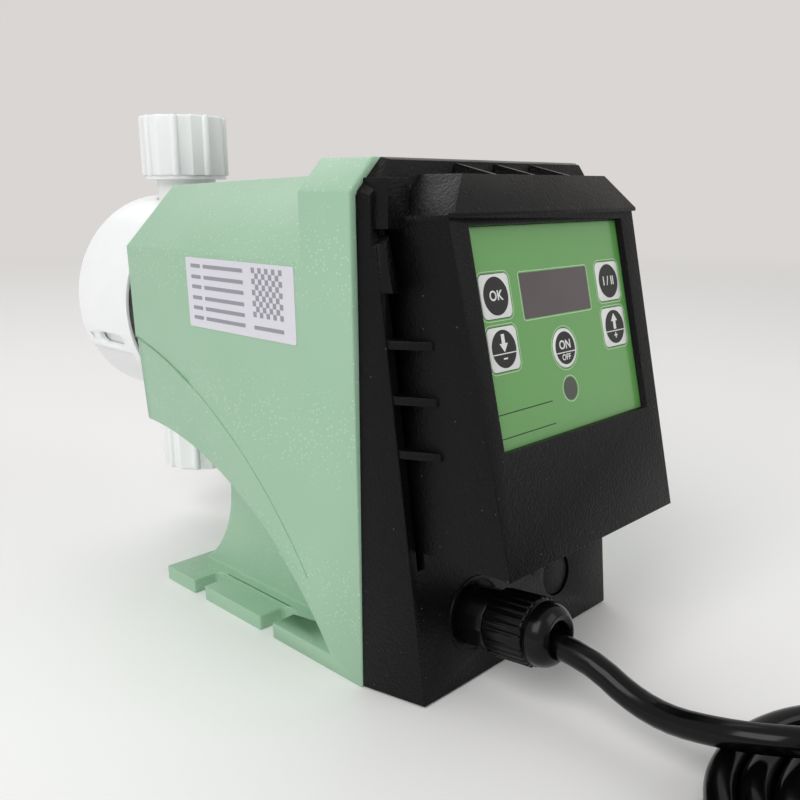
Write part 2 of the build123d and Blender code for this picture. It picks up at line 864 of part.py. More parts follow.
with BuildPart() as power_screws:
    with BuildSketch(board_top):
        with Locations(*power_hole_places):
            Circle(board_screw_head_radius)
    extrude(amount=board_screw_head_height)
    with BuildSketch(board_top):
        with Locations(*power_hole_places):
            Circle(standoff_hole_radius)
    extrude(amount=-board_thickness - 5)
power_screws.part.label = "power_screws"
export_step(power_screws.part, "parts/power_screws.step")

# ---------------------------------------------------------------- cable gland and knock-out
with BuildPart() as blanking_disc:
    with BuildSketch(base_front.offset(-0.6)):
        with Locations((knockout_x, knockout_height)):
            Circle(knockout_radius)
    extrude(amount=-cover_wall + 0.6)
    with BuildSketch(base_front.offset(-cover_wall)):
        with Locations((knockout_x, knockout_height)):
            Circle(knockout_radius + knockout_lip)
    extrude(amount=-1.2)
blanking_disc.part.label = "blanking_disc"
export_step(blanking_disc.part, "parts/blanking_disc.step")

gland_ring_height = 0.5
gland_flange_radius = 9.6
gland_flange_length = 10.0
gland_thread_inside = 7.5
locknut_length = 4.0
locknut_radius = 12.0
gland_nut_start = 10.3
gland_nut_length = 15.2
gland_nut_radius = 10.3
gland_dome_length = 7.0
gland_dome_radius = 9.9
gland_mouth_radius = 5.0
gland_rib_count = 28
cord_radius = 3.9
cord_clearance = 0.15
seal_radius = 6.6
seal_gap = 0.15

with BuildPart() as gland_body:
    with BuildSketch(gland_plane):
        RegularPolygon(gland_flange_radius, 12)
    extrude(amount=gland_flange_length)
    with BuildSketch(gland_plane):
        Circle(gland_thread_radius)
    extrude(amount=-cover_wall - gland_thread_inside)
    with BuildSketch(gland_plane.offset(gland_flange_length)):
        Circle(gland_thread_radius)
    extrude(amount=gland_nut_length - 4)
    with BuildSketch(gland_plane.offset(-cover_wall - gland_thread_inside)):
        Circle(cord_radius + cord_clearance)
    extrude(amount=3 * gland_nut_length, mode=Mode.SUBTRACT)
    with BuildSketch(gland_plane.offset(gland_flange_length)):
        Circle(seal_radius)
    extrude(amount=gland_nut_length, mode=Mode.SUBTRACT)
gland_body.part.label = "gland_body"
export_step(gland_body.part, "parts/gland_body.step")

with BuildPart() as gland_locknut:
    with BuildSketch(gland_plane.offset(-cover_wall)):
        RegularPolygon(locknut_radius, 6)
        Circle(gland_thread_radius, mode=Mode.SUBTRACT)
    extrude(amount=-locknut_length)
gland_locknut.part.label = "gland_locknut"
export_step(gland_locknut.part, "parts/gland_locknut.step")

seal_length = gland_nut_length + 3
with BuildPart() as gland_seal:
    with BuildSketch(gland_plane.offset(gland_flange_length)):
        Circle(seal_radius)
        Circle(cord_radius + seal_gap, mode=Mode.SUBTRACT)
    extrude(amount=seal_length)
gland_seal.part.label = "gland_seal"
export_step(gland_seal.part, "parts/gland_seal.step")

with BuildPart() as gland_nut:
    nut_end = gland_nut_start + gland_nut_length
    dome_end = nut_end + gland_dome_length
    profile_plane = Plane(
        origin=gland_plane.origin, x_dir=gland_plane.x_dir, z_dir=gland_plane.y_dir
    )
    with BuildSketch(profile_plane):
        with BuildLine():
            Polyline(
                (gland_thread_radius, -gland_nut_start),
                (gland_nut_radius - 0.6, -gland_nut_start),
                (gland_nut_radius, -gland_nut_start - 0.8),
                (gland_nut_radius, -nut_end + 0.5),
                (gland_dome_radius - 0.9, -nut_end),
                (gland_dome_radius, -nut_end - 0.9),
            )
            Spline(
                (gland_dome_radius, -nut_end - 0.9),
                (gland_dome_radius - 1.1, -dome_end + 1.8),
                (gland_mouth_radius + 1.6, -dome_end),
            )
            Polyline(
                (gland_mouth_radius + 1.6, -dome_end),
                (gland_mouth_radius, -dome_end + 0.5),
                (gland_mouth_radius, -gland_flange_length - seal_length),
                (seal_radius, -gland_flange_length - seal_length),
                (gland_thread_radius, -nut_end + 3),
                (gland_thread_radius, -gland_nut_start),
            )
        make_face()
    revolve(axis=Axis(gland_plane.origin, gland_plane.z_dir))
    with BuildSketch(gland_plane.offset(nut_end - 0.5)):  # grip ribs in four groups
        for i in range(gland_rib_count):
            if i % 7:
                with PolarLocations(gland_nut_radius, 1, start_angle=i * 360 / gland_rib_count):
                    Circle(0.45)
    extrude(amount=-gland_nut_length + 1.5)
gland_nut.part.label = "gland_nut"
export_step(gland_nut.part, "parts/gland_nut.step")


# ---------------------------------------------------------------- solenoid
def head_plane(depth):
    """Plane across the pump axis at a depth, facing away from the housing."""
    return Plane(origin=(0, joint_y + depth, head_z), x_dir=(-1, 0, 0), z_dir=(0, 1, 0))


def axis_profile(points):
    """Closed profile of (depth, radius) points in the plane beside the pump axis."""
    with BuildLine() as line:
        Polyline(*[(joint_y + depth, head_z + radius) for depth, radius in points], close=True)
    return line.line


pump_axis = Axis((0, 0, head_z), (0, 1, 0))
plate_half = 32.5
plate_thickness = 6.0
plate_back = body_depth - head_wall - plate_thickness
plate_front = body_depth - head_wall
yoke_radius = 31.0
yoke_wall = 4.0
yoke_length = 54.0
yoke_back = plate_back - yoke_length
plate_screw_ring = yoke_radius - yoke_wall / 2
plate_screw_radius = 1.5
plate_screw_reach = 9.0
plate_screw_head = 2.6
bobbin_bore = 11.0
bobbin_wall = 1.2
bobbin_flange_radius = 26.0
bobbin_flange = 2.0
bobbin_gap = 0.3
winding_radius = 24.0
pole_radius = bobbin_bore - 0.1
pole_start = 90.0
pole_bore = 5.5
spring_pocket_radius = 7.6
spring_pocket_depth = 10.0
stroke = 1.25
armature_radius = 10.5
armature_length = 22.7
armature_front = pole_start - stroke - 0.1
armature_back = armature_front - armature_length
armature_pocket_depth = 6.7
buffer_radius = 8.0
rod_radius = 4.0
rod_running_gap = 0.05
rod_seat_depth = 4.0
bush_start = pole_start + spring_pocket_depth + 2
bush_end = plate_front + 2
bush_flange_radius = 7.0
spacer_front = body_depth + spacer_length
core_radius = 14.0
core_thickness = 4.0
diaphragm_radius = 32.0
diaphragm_thickness = 2.0
diaphragm_seat = 1.8
diaphragm_free_radius = 26.0
core_front = spacer_front - diaphragm_seat - 0.2
liquid_back = spacer_front - diaphragm_seat + diaphragm_thickness

screw_ring_places = [
    (plate_screw_ring * cos(radians(a)), plate_screw_ring * sin(radians(a))) for a in (0, 90, 180, 270)
]
with BuildPart() as solenoid_plate:
    with BuildSketch(head_plane(plate_back)):
        RectangleRounded(2 * plate_half, 2 * plate_half, 3)
        Circle(pole_radius, mode=Mode.SUBTRACT)
        with Locations(*head_bolt_places):
            Circle(head_bolt_radius, mode=Mode.SUBTRACT)
        with Locations(*screw_ring_places):
            Circle(plate_screw_radius, mode=Mode.SUBTRACT)
    extrude(amount=plate_thickness)
    with BuildSketch(head_plane(plate_front)):
        with Locations(*screw_ring_places):
            Circle(plate_screw_head + 0.2)
    extrude(amount=-2.2, mode=Mode.SUBTRACT)
solenoid_plate.part.label = "solenoid_plate"
export_step(solenoid_plate.part, "parts/solenoid_plate.step")

with BuildPart() as solenoid_yoke:
    with BuildSketch(head_plane(yoke_back)):
        Circle(yoke_radius)
    extrude(amount=yoke_length)
    with BuildSketch(head_plane(yoke_back + yoke_wall)):
        Circle(yoke_radius - yoke_wall)
    extrude(amount=yoke_length, mode=Mode.SUBTRACT)
    with BuildSketch(head_plane(plate_back)):
        with Locations(*screw_ring_places):
            Circle(plate_screw_radius)
    extrude(amount=-plate_screw_reach, mode=Mode.SUBTRACT)
    with BuildSketch(Plane.XY.offset(head_z - yoke_radius - 1)):  # lead slot
        with Locations((0, joint_y + plate_back)):
            Rectangle(10, 16)
    extrude(amount=2 * yoke_wall, mode=Mode.SUBTRACT)
solenoid_yoke.part.label = "solenoid_yoke"
export_step(solenoid_yoke.part, "parts/solenoid_yoke.step")

with BuildPart() as solenoid_screws:
    with BuildSketch(head_plane(plate_front)):
        with Locations(*screw_ring_places):
            Circle(plate_screw_head)
    extrude(amount=-2.2)
    with BuildSketch(head_plane(plate_front - 2.2)):
        with Locations(*screw_ring_places):
            Circle(plate_screw_radius)
    extrude(amount=-plate_thickness + 2.2 - plate_screw_reach + 1)
solenoid_screws.part.label = "solenoid_screws"
export_step(solenoid_screws.part, "parts/solenoid_screws.step")

bobbin_back = yoke_back + yoke_wall + bobbin_gap
bobbin_front = plate_back
with BuildPart() as coil_bobbin:
    with BuildSketch(Plane.YZ):
        make_face(
            axis_profile(
                [
                    (bobbin_back, bobbin_bore),
                    (bobbin_back, bobbin_flange_radius),
                    (bobbin_back + bobbin_flange, bobbin_flange_radius),
                    (bobbin_back + bobbin_flange, bobbin_bore + bobbin_wall),
                    (bobbin_front - bobbin_flange, bobbin_bore + bobbin_wall),
                    (bobbin_front - bobbin_flange, bobbin_flange_radius),
                    (bobbin_front, bobbin_flange_radius),
                    (bobbin_front, bobbin_bore),
                ]
            )
        )
    revolve(axis=pump_axis)
coil_bobbin.part.label = "coil_bobbin"
export_step(coil_bobbin.part, "parts/coil_bobbin.step")

with BuildPart() as coil_winding:
    with BuildSketch(head_plane(bobbin_back + bobbin_flange)):
        Circle(winding_radius)
        Circle(bobbin_bore + bobbin_wall, mode=Mode.SUBTRACT)
    extrude(amount=bobbin_front - bobbin_back - 2 * bobbin_flange)
coil_winding.part.label = "coil_winding"
export_step(coil_winding.part, "parts/coil_winding.step")

with BuildPart() as pole_piece:
    with BuildSketch(head_plane(pole_start)):
        Circle(pole_radius)
    extrude(amount=plate_front - pole_start)
    with BuildSketch(head_plane(pole_start)):
        Circle(spring_pocket_radius)
    extrude(amount=spring_pocket_depth, mode=Mode.SUBTRACT)
    with BuildSketch(head_plane(pole_start)):
        Circle(pole_bore)
    extrude(amount=plate_front, mode=Mode.SUBTRACT)
pole_piece.part.label = "pole_piece"
export_step(pole_piece.part, "parts/pole_piece.step")

with BuildPart() as guide_bush:
    with BuildSketch(head_plane(bush_start)):
        Circle(pole_bore)
    extrude(amount=plate_front - bush_start)
    with BuildSketch(head_plane(plate_front)):
        Circle(bush_flange_radius)
    extrude(amount=bush_end - plate_front)
    with BuildSketch(head_plane(bush_start)):
        Circle(rod_radius + rod_running_gap)
    extrude(amount=plate_front, mode=Mode.SUBTRACT)
guide_bush.part.label = "guide_bush"
export_step(guide_bush.part, "parts/guide_bush.step")

with BuildPart() as stop_buffer:
    with BuildSketch(head_plane(yoke_back + yoke_wall)):
        Circle(buffer_radius)
    extrude(amount=armature_back - yoke_back - yoke_wall - 0.05)
stop_buffer.part.label = "stop_buffer"
export_step(stop_buffer.part, "parts/stop_buffer.step")

rod_start = armature_front - armature_pocket_depth - rod_seat_depth
with BuildPart() as armature:
    with BuildSketch(head_plane(armature_back)):
        Circle(armature_radius)
    extrude(amount=armature_length)
    with BuildSketch(head_plane(armature_front)):
        Circle(spring_pocket_radius)
    extrude(amount=-armature_pocket_depth, mode=Mode.SUBTRACT)
    with BuildSketch(head_plane(armature_front)):
        Circle(rod_radius)
    extrude(amount=rod_start - armature_front, mode=Mode.SUBTRACT)
armature.part.label = "armature"
export_step(armature.part, "parts/armature.step")

with BuildPart() as push_rod:
    with BuildSketch(head_plane(rod_start)):
        Circle(rod_radius)
    extrude(amount=core_front - core_thickness - rod_start)
push_rod.part.label = "push_rod"
export_step(push_rod.part, "parts/push_rod.step")

spring_radius = 6.2
spring_wire = 0.55
spring_turns = 5
spring_start = armature_front - armature_pocket_depth + spring_wire + 0.05
spring_end = pole_start + spring_pocket_depth - spring_wire - 0.05
with BuildPart() as return_spring:
    with BuildLine() as spring_line:
        Helix(
            pitch=(spring_end - spring_start) / spring_turns,
            height=spring_end - spring_start,
            radius=spring_radius,
            center=(0, joint_y + spring_start, head_z),
            direction=(0, 1, 0),
        )
    with BuildSketch(Plane(origin=spring_line.line @ 0, z_dir=spring_line.line % 0)):
        Circle(spring_wire)
    sweep(path=spring_line.line, is_frenet=True)
return_spring.part.label = "return_spring"
export_step(return_spring.part, "parts/return_spring.step")

# ---------------------------------------------------------------- pump head
drain_radius = 2.5
drain_depth = 133.0
pocket_depth = 9.0
with BuildPart() as head_spacer:
    with BuildSketch(head_plane(body_depth)):
        Circle(spacer_radius)
        Circle(plunger_bore, mode=Mode.SUBTRACT)
        with Locations(*head_bolt_places):
            Circle(head_bolt_radius + bolt_clearance, mode=Mode.SUBTRACT)
    extrude(amount=spacer_length)
    with BuildSketch(head_plane(spacer_front)):
        Circle(diaphragm_free_radius)
    extrude(amount=-pocket_depth, mode=Mode.SUBTRACT)
    with BuildSketch(head_plane(spacer_front)):
        Circle(diaphragm_radius + 0.2)
    extrude(amount=-diaphragm_seat, mode=Mode.SUBTRACT)
    with BuildSketch(Plane.XY.offset(head_z - plunger_bore)):
        with Locations((0, joint_y + drain_depth)):
            Circle(drain_radius)
    extrude(amount=-spacer_radius, mode=Mode.SUBTRACT)
head_spacer.part.label = "head_spacer"
export_step(head_spacer.part, "parts/head_spacer.step")

with BuildPart() as diaphragm:
    with BuildSketch(Plane.YZ):
        seat = spacer_front - diaphragm_seat
        make_face(
            axis_profile(
                [
                    (seat, 0),
                    (seat, diaphragm_radius),
                    (liquid_back, diaphragm_radius),
                    (liquid_back, diaphragm_free_radius - 1),
                    (liquid_back - 0.6, diaphragm_free_radius - 3),
                    (liquid_back - 0.6, core_radius + 3),
                    (liquid_back + 1.0, core_radius - 1),
                    (liquid_back + 1.0, 0),
                ]
            )
        )
    revolve(axis=pump_axis)
diaphragm.part.label = "diaphragm"
export_step(diaphragm.part, "parts/diaphragm.step")

with BuildPart() as diaphragm_core:
    with BuildSketch(head_plane(core_front)):
        Circle(core_radius)
    extrude(amount=-core_thickness)
    chamfer(diaphragm_core.faces().sort_by(Axis.Y)[0].edges(), 1)
diaphragm_core.part.label = "diaphragm_core"
export_step(diaphragm_core.part, "parts/diaphragm_core.step")

# valves and unions stand on one vertical line through the head
valve_y = joint_y + valve_depth
nut_low = 51.5  # heights above the pump axis
nut_high = 77.5
nut_wall = 4.0
nut_radius = 18.7
nut_flat_radius = 17.3
nut_bore = 15.0
port_radius = 7.5
thread_radius = 14.9
thread_low = nut_low + 2.0
thread_high = nut_low + 15.0
neck_radius = 12.6
neck_gap = 0.6
valve_bore = 7.0
ball_radius = 4.5
ball_lift = 1.5
ball_seat_bore = 2.6
ball_seat_rim = 4.2
ball_seat_gap = 0.08
seat_length = 5.0
channel_radius = 2.5
inlet_radius = 3.2
flange_radius = 12.5
flange_thickness = 2.4
ring_radius = 11.5
ring_bore = 4.7
ring_gap = 0.6
spigot_gap = 0.1
o_ring_radius = 10.0
o_ring_section = 0.95
liquid_front = liquid_back + liquid_end_length + 1.8
liquid_radius = head_radius - head_cover_wall - 0.3
chamber_depth = 3.6

# a ball touches a 45 degree seat this far above the seat's rim plane
ball_rise = (ball_radius + ball_seat_gap) * 2**0.5 - ball_seat_rim
discharge_seat_top = 48.5
discharge_ball_z = discharge_seat_top + ball_rise
discharge_stop = discharge_ball_z + ball_radius + ball_lift + 0.1
suction_seat_top = -55.5
suction_ball_z = suction_seat_top + ball_rise
suction_stop = suction_ball_z + ball_radius + ball_lift + 0.1
slot_gap = 3.0


def level(height):
    """Horizontal sketch plane on the valve line at a height above the pump axis."""
    return Plane(origin=(0, valve_y, head_z + height))


with BuildPart() as liquid_end:
    with BuildSketch(head_plane(liquid_back)):
        Circle(liquid_radius)
    extrude(amount=liquid_front - liquid_back)
    for side in (-1, 1):
        with BuildSketch(level(0)):
            Circle(neck_radius)
        extrude(amount=side * thread_high)
        with BuildSketch(level(side * thread_low)):
            Circle(thread_radius)
        extrude(amount=side * (thread_high - thread_low))
    with BuildSketch(Plane.YZ):  # shallow liquid chamber before the diaphragm
        make_face(
            axis_profile(
                [
                    (liquid_back, 0),
                    (liquid_back, diaphragm_free_radius),
                    (liquid_back + chamber_depth - 1, diaphragm_free_radius - 6),
                    (liquid_back + chamber_depth, diaphragm_free_radius - 14),
                    (liquid_back + chamber_depth, 0),
                ]
            )
        )
    revolve(axis=pump_axis, mode=Mode.SUBTRACT)
    with BuildSketch(head_plane(liquid_back)):
        Circle(inlet_radius)
    extrude(amount=valve_depth - liquid_back, mode=Mode.SUBTRACT)
    with BuildSketch(level(suction_stop)):
        Circle(channel_radius)
    extrude(amount=discharge_seat_top - seat_length - suction_stop, mode=Mode.SUBTRACT)
    with BuildSketch(level(thread_high)):  # discharge bore
        Circle(valve_bore)
    extrude(amount=discharge_seat_top - seat_length - thread_high, mode=Mode.SUBTRACT)
    with BuildSketch(level(-thread_high)):  # suction bore with a slotted ceiling
        Circle(valve_bore)
    extrude(amount=suction_stop + thread_high, mode=Mode.SUBTRACT)
    with BuildSketch(level(suction_stop)):
        SlotOverall(2 * valve_bore - 1, slot_gap)
        SlotOverall(2 * valve_bore - 1, slot_gap, rotation=90)
    extrude(amount=slot_gap, mode=Mode.SUBTRACT)
    for side in (-1, 1):
        with BuildSketch(level(side * thread_high)):
            Circle(o_ring_radius + o_ring_section + 0.15)
            Circle(o_ring_radius - o_ring_section - 0.15, mode=Mode.SUBTRACT)
        extrude(amount=-side * 2 * o_ring_section, mode=Mode.SUBTRACT)
    with BuildSketch(head_plane(liquid_back)):
        with Locations(*head_bolt_places):
            Circle(head_bolt_radius + bolt_clearance)
    extrude(amount=liquid_end_length + 2 * over, mode=Mode.SUBTRACT)
liquid_end.part.label = "liquid_end"
export_step(liquid_end.part, "parts/liquid_end.step")

bolt_head_radius = 4.25
bolt_head_height = 5.0
bolt_socket_radius = 2.3
with BuildPart() as head_bolts:
    with BuildSketch(head_plane(liquid_front)):
        with Locations(*head_bolt_places):
            Circle(bolt_head_radius)
    extrude(amount=bolt_head_height)
    with BuildSketch(head_plane(liquid_front + bolt_head_height)):
        with Locations(*head_bolt_places):
            RegularPolygon(bolt_socket_radius, 6)
    extrude(amount=-bolt_head_height / 2, mode=Mode.SUBTRACT)
    with BuildSketch(head_plane(liquid_front)):
        with Locations(*head_bolt_places):
            Circle(head_bolt_radius)
    extrude(amount=plate_back - liquid_front)
head_bolts.part.label = "head_bolts"
export_step(head_bolts.part, "parts/head_bolts.step")

latch_angle = 18.5  # below the horizontal
latch_height = 5.5
latch_length = 19.9
vent_radius = 1.3
ledge_angle = 25.0
ledge_depth = 1.2
cover_back = spacer_front + head_cover_gap
latch_start = cover_back + 9.0
latch_end = latch_start + latch_length
vent_depth = cover_back + 36.2
ledge_start = cover_back + 6.2
cover_front = cover_back + head_cover_length - 0.1
with BuildPart() as head_cover:
    with BuildSketch(head_plane(cover_back)):
        Circle(head_radius)
    extrude(amount=cover_front - cover_back)
    fillet(head_cover.faces().sort_by(Axis.Y)[-1].edges(), 2.4)
    with BuildSketch(head_plane(cover_back)):
        Circle(head_radius - head_cover_wall)
    extrude(amount=cover_front - cover_back - head_cover_wall, mode=Mode.SUBTRACT)
    with BuildSketch(level(-nut_high)):
        Circle(neck_radius + neck_gap)
        with Locations((0, cover_back - valve_depth)):
            Rectangle(2 * (neck_radius + neck_gap), 2 * (valve_depth - cover_back))
    extrude(amount=2 * nut_high, mode=Mode.SUBTRACT)
    for side in (-1, 1):
        dip = radians(latch_angle)
        with BuildSketch(
            Plane(
                origin=(0, joint_y, head_z),
                x_dir=(0, 1, 0),
                z_dir=(side * cos(dip), 0, -sin(dip)),
            )
        ):
            with Locations(((latch_start + latch_end) / 2, 0)):
                SlotOverall(latch_end - latch_start, latch_height)
            with Locations((vent_depth, 0)):
                Circle(vent_radius)
        extrude(amount=head_radius + over, mode=Mode.SUBTRACT)
    with BuildSketch(head_plane(ledge_start)):
        with BuildLine():
            ledge_half = head_radius * cos(radians(ledge_angle))
            ledge_z = -head_radius * sin(radians(ledge_angle))
            Polyline(
                (-ledge_half - over, ledge_z),
                (ledge_half + over, ledge_z),
                (ledge_half + over, -head_radius - over),
                (-ledge_half - over, -head_radius - over),
                close=True,
            )
        make_face()
        Circle(head_radius - ledge_depth, mode=Mode.SUBTRACT)
    extrude(amount=head_cover_length + over, mode=Mode.SUBTRACT)
head_cover.part.label = "head_cover"
export_step(head_cover.part, "parts/head_cover.step")


def make_seat(name, top):
    """Valve seat ring with a 45 degree rim."""
    with BuildPart() as seat_ring:
        with BuildSketch(level(top)):
            Circle(valve_bore)
        extrude(amount=-seat_length)
        with BuildSketch(level(top)):
            Circle(ball_seat_bore)
        extrude(amount=-seat_length, mode=Mode.SUBTRACT)
        with BuildSketch(level(top - ball_seat_rim + ball_seat_bore)):
            Circle(ball_seat_bore)
        with BuildSketch(level(top)):
            Circle(ball_seat_rim)
        loft(mode=Mode.SUBTRACT)
    seat_ring.part.label = name
    export_step(seat_ring.part, "parts/" + name + ".step")
    return seat_ring


def make_ball(name, height):
    """Valve ball."""
    with BuildPart() as ball:
        with Locations((0, valve_y, head_z + height)):
            Sphere(ball_radius)
    ball.part.label = name
    export_step(ball.part, "parts/" + name + ".step")
    return ball


def make_o_ring(name, side):
    """Seal between the neck and the nozzle flange."""
    with BuildPart() as ring:
        with BuildSketch(Plane.YZ):
            with Locations((valve_y + o_ring_radius, head_z + side * (thread_high - o_ring_section))):
                Circle(o_ring_section)
        revolve(axis=Axis((0, valve_y, 0), (0, 0, 1)))
    ring.part.label = name
    export_step(ring.part, "parts/" + name + ".step")
    return ring


def make_nozzle(name, side, stop):
    """Hose nozzle: spigot in the valve bore, flange on the neck and a cone for the hose."""
    cone_end = nut_high - 1
    with BuildPart() as nozzle:
        with BuildSketch(level(stop)):
            Circle(valve_bore - spigot_gap)
        extrude(amount=side * thread_high - stop)
        with BuildSketch(level(side * thread_high)):
            Circle(flange_radius)
        extrude(amount=side * flange_thickness)
        with BuildSketch(level(side * (thread_high + flange_thickness))):
            Circle(3.6)
        with BuildSketch(level(side * cone_end)):
            Circle(2.6)
        loft()
        with BuildSketch(level(stop)):
            Circle(2.0)
        extrude(amount=side * (cone_end + 1) - stop, mode=Mode.SUBTRACT)
        if side > 0:
            with BuildSketch(level(stop)):
                SlotOverall(2 * valve_bore - 1, slot_gap)
                SlotOverall(2 * valve_bore - 1, slot_gap, rotation=90)
            extrude(amount=slot_gap, mode=Mode.SUBTRACT)
    nozzle.part.label = name
    export_step(nozzle.part, "parts/" + name + ".step")
    return nozzle


def make_clamp_ring(name, side):
    """Ring that presses the hose onto the cone."""
    low = thread_high + flange_thickness + ring_gap
    high = nut_high - nut_wall - 0.05
    with BuildPart() as ring:
        with BuildSketch(level(side * low)):
            Circle(ring_radius)
        extrude(amount=side * (high - low))
        with BuildSketch(level(side * (low - 1))):
            Circle(ring_bore)
        extrude(amount=side * nut_wall * 2, mode=Mode.SUBTRACT)
    ring.part.label = name
    export_step(ring.part, "parts/" + name + ".step")
    return ring


def make_nut(name, side):
    """Union nut: eight shallow flats between rounded ridges, over a plain collar."""
    height = nut_high - nut_low
    with BuildPart() as nut:
        with BuildSketch(level(side * nut_low)):
            Circle(nut_flat_radius)
        extrude(amount=side * 2.0)
        with BuildSketch(level(side * (nut_low + 1.6))):
            RegularPolygon(nut_radius, 8, rotation=22.5)
            with PolarLocations(nut_radius - 1.7, 8):
                Circle(1.7)
        extrude(amount=side * (height - 1.6))
        chamfer(nut.faces().sort_by(Axis.Z)[-1 if side > 0 else 0].edges(), 0.8)
        with BuildSketch(level(side * nut_low)):
            Circle(nut_bore)
        extrude(amount=side * (height - nut_wall), mode=Mode.SUBTRACT)
        with BuildSketch(level(side * nut_high)):
            Circle(port_radius)
        extrude(amount=-side * 2 * nut_wall, mode=Mode.SUBTRACT)
    nut.part.label = name
    export_step(nut.part, "parts/" + name + ".step")
    return nut


for prefix, side, seat_top, ball_z, stop in (
    ("discharge", 1, discharge_seat_top, discharge_ball_z, discharge_stop),
    ("suction", -1, suction_seat_top, suction_ball_z, suction_seat_top - seat_length),
):
    make_seat(prefix + "_seat", seat_top)
    make_ball(prefix + "_ball", ball_z)
    make_o_ring(prefix + "_o_ring", side)
    make_nozzle(prefix + "_nozzle", side, stop)
    make_clamp_ring(prefix + "_clamp_ring", side)
    make_nut(prefix + "_nut", side)

# ---------------------------------------------------------------- rating label
label_back = (24.6, 82.1)
label_heights = (106.2, 129.4)
label_thickness = 0.25
with BuildPart() as rating_label:
    lean = atan2(side_half_width(1) - side_half_width(0), 1)
    label_mid_z = sum(label_heights) / 2
    label_plane = Plane(
        origin=(-side_half_width(label_mid_z), joint_y + sum(label_back) / 2, label_mid_z),
        x_dir=(0, -1, 0),
        z_dir=(-cos(lean), 0, -sin(lean)),
    )
    with BuildSketch(label_plane):
        RectangleRounded(label_back[1] - label_back[0], label_heights[1] - label_heights[0], 0.8)
    extrude(amount=label_thickness)
rating_label.part.label = "rating_label"
export_step(rating_label.part, "parts/rating_label.step")

# ---------------------------------------------------------------- mains lead, coil and plug
cord_route = [
    (-24.0, -83.0, 20.63),
    (-24.0, -126.3, 25.73),
    (-24.2, -151.0, 13.4),
    (-27.3, -176.5, 19.7),
    (-16.5, -200.5, 19.7),
    (0.5, -219.5, 9.5),
    (5.5, -246.0, 4.2),
]
coil_centre = (-19.0, -222.5)
coil_radius = 40.0
coil_strands = 3
coil_layers = 2
tail_route = [
    (-19.0, -185.3, 11.0),
    (4.9, -194.0, 11.3),
    (17.6, -216.0, 17.5),
    (13.2, -241.1, 25.8),
    (-6.3, -257.5, 34.1),
    (-41.0, -257.5, 34.1),
]
plug_radius = 18.5
plug_relief_x = -19.0  # where the strain relief begins, the plug points to -X
plug_relief_length = 20.0
plug_length = 34.0
plug_relief_radius = 5.4
pin_radius = 2.4
pin_length = 19.0
pin_pitch = 19.0


def cord_path(points):
    """Straight runs joined by tangent arcs as wide as the runs allow."""
    radii = []
    for before, corner, after in zip(points, points[1:], points[2:]):
        run_in = Vector(*corner) - Vector(*before)
        run_out = Vector(*after) - Vector(*corner)
        turn = radians(run_in.get_angle(run_out))
        radii.append(0.45 * min(run_in.length, run_out.length) / tan(turn / 2))
    print("cord radii", [round(radius, 1) for radius in radii])
    with BuildLine() as line:
        FilletPolyline(*points, radius=radii)
    return line.wires()[0]


def make_tube(name, points):
    """Round cord along a route."""
    route = cord_path(points)
    with BuildPart() as tube:
        with BuildSketch(Plane(origin=route @ 0, z_dir=route % 0)):
            Circle(cord_radius)
        sweep(path=route)
    expected = pi * cord_radius**2 * route.length
    print(name, "volume ratio", round(tube.part.volume / expected, 3), "length", round(route.length, 1))
    tube.part.label = name
    export_step(tube.part, "parts/" + name + ".step")
    return tube


power_cord = make_tube("power_cord", cord_route)
cord_tail = make_tube("cord_tail", tail_route)

with BuildPart() as cord_coil:
    with BuildSketch(Plane.XZ):
        with Locations((coil_radius, coil_layers * cord_radius)):
            RectangleRounded(
                2 * coil_strands * cord_radius, 2 * coil_layers * cord_radius, cord_radius - 0.1
            )
    revolve(axis=Axis.Z)
coil_solid = Pos(*coil_centre, 0) * cord_coil.part
with BuildPart() as cord_coil:
    add(coil_solid)
    add(power_cord.part, mode=Mode.SUBTRACT)
    add(cord_tail.part, mode=Mode.SUBTRACT)
cord_coil.part.label = "cord_coil"
export_step(cord_coil.part, "parts/cord_coil.step")

plug_axis_z = 2 * coil_layers * cord_radius + plug_radius
plug_end = plug_relief_length + plug_length
plug_plane = Plane(
    origin=(plug_relief_x, tail_route[-1][1], plug_axis_z), x_dir=(0, 1, 0), z_dir=(-1, 0, 0)
)
with BuildPart() as plug_body:
    with BuildSketch(Plane(plug_plane.origin, x_dir=(-1, 0, 0), z_dir=(0, -1, 0))):
        with BuildLine():
            Polyline(
                (0, 0),
                (0, plug_relief_radius),
                (plug_relief_length, plug_relief_radius + 2.6),
                (plug_relief_length + 2, plug_radius - 4),
                (plug_relief_length + 12, plug_radius),
                (plug_end, plug_radius),
                (plug_end, 0),
                close=True,
            )
        make_face()
    revolve(axis=Axis(plug_plane.origin, (1, 0, 0)))
    with BuildSketch(plug_plane.offset(plug_relief_length + 8)):  # guide grooves of the socket
        for side in (-1, 1):
            with Locations((0, side * plug_radius)):
                Rectangle(5.0, 3.0)
    extrude(amount=plug_length, mode=Mode.SUBTRACT)
    with BuildSketch(plug_plane):
        Circle(cord_radius)
    extrude(amount=plug_relief_x - tail_route[-1][0], mode=Mode.SUBTRACT)
    with BuildSketch(plug_plane.offset(plug_end)):
        with Locations((-pin_pitch / 2, 0), (pin_pitch / 2, 0)):
            Circle(pin_radius)
    extrude(amount=-over, mode=Mode.SUBTRACT)
plug_body.part.label = "plug_body"
export_step(plug_body.part, "parts/plug_body.step")

with BuildPart() as plug_pins:
    with BuildSketch(plug_plane.offset(plug_end - over)):
        with Locations((-pin_pitch / 2, 0), (pin_pitch / 2, 0)):
            Circle(pin_radius)
    extrude(amount=over + pin_length)
    chamfer(plug_pins.faces().sort_by(Axis.X)[:2].edges(), 0.8)
plug_pins.part.label = "plug_pins"
export_step(plug_pins.part, "parts/plug_pins.step")
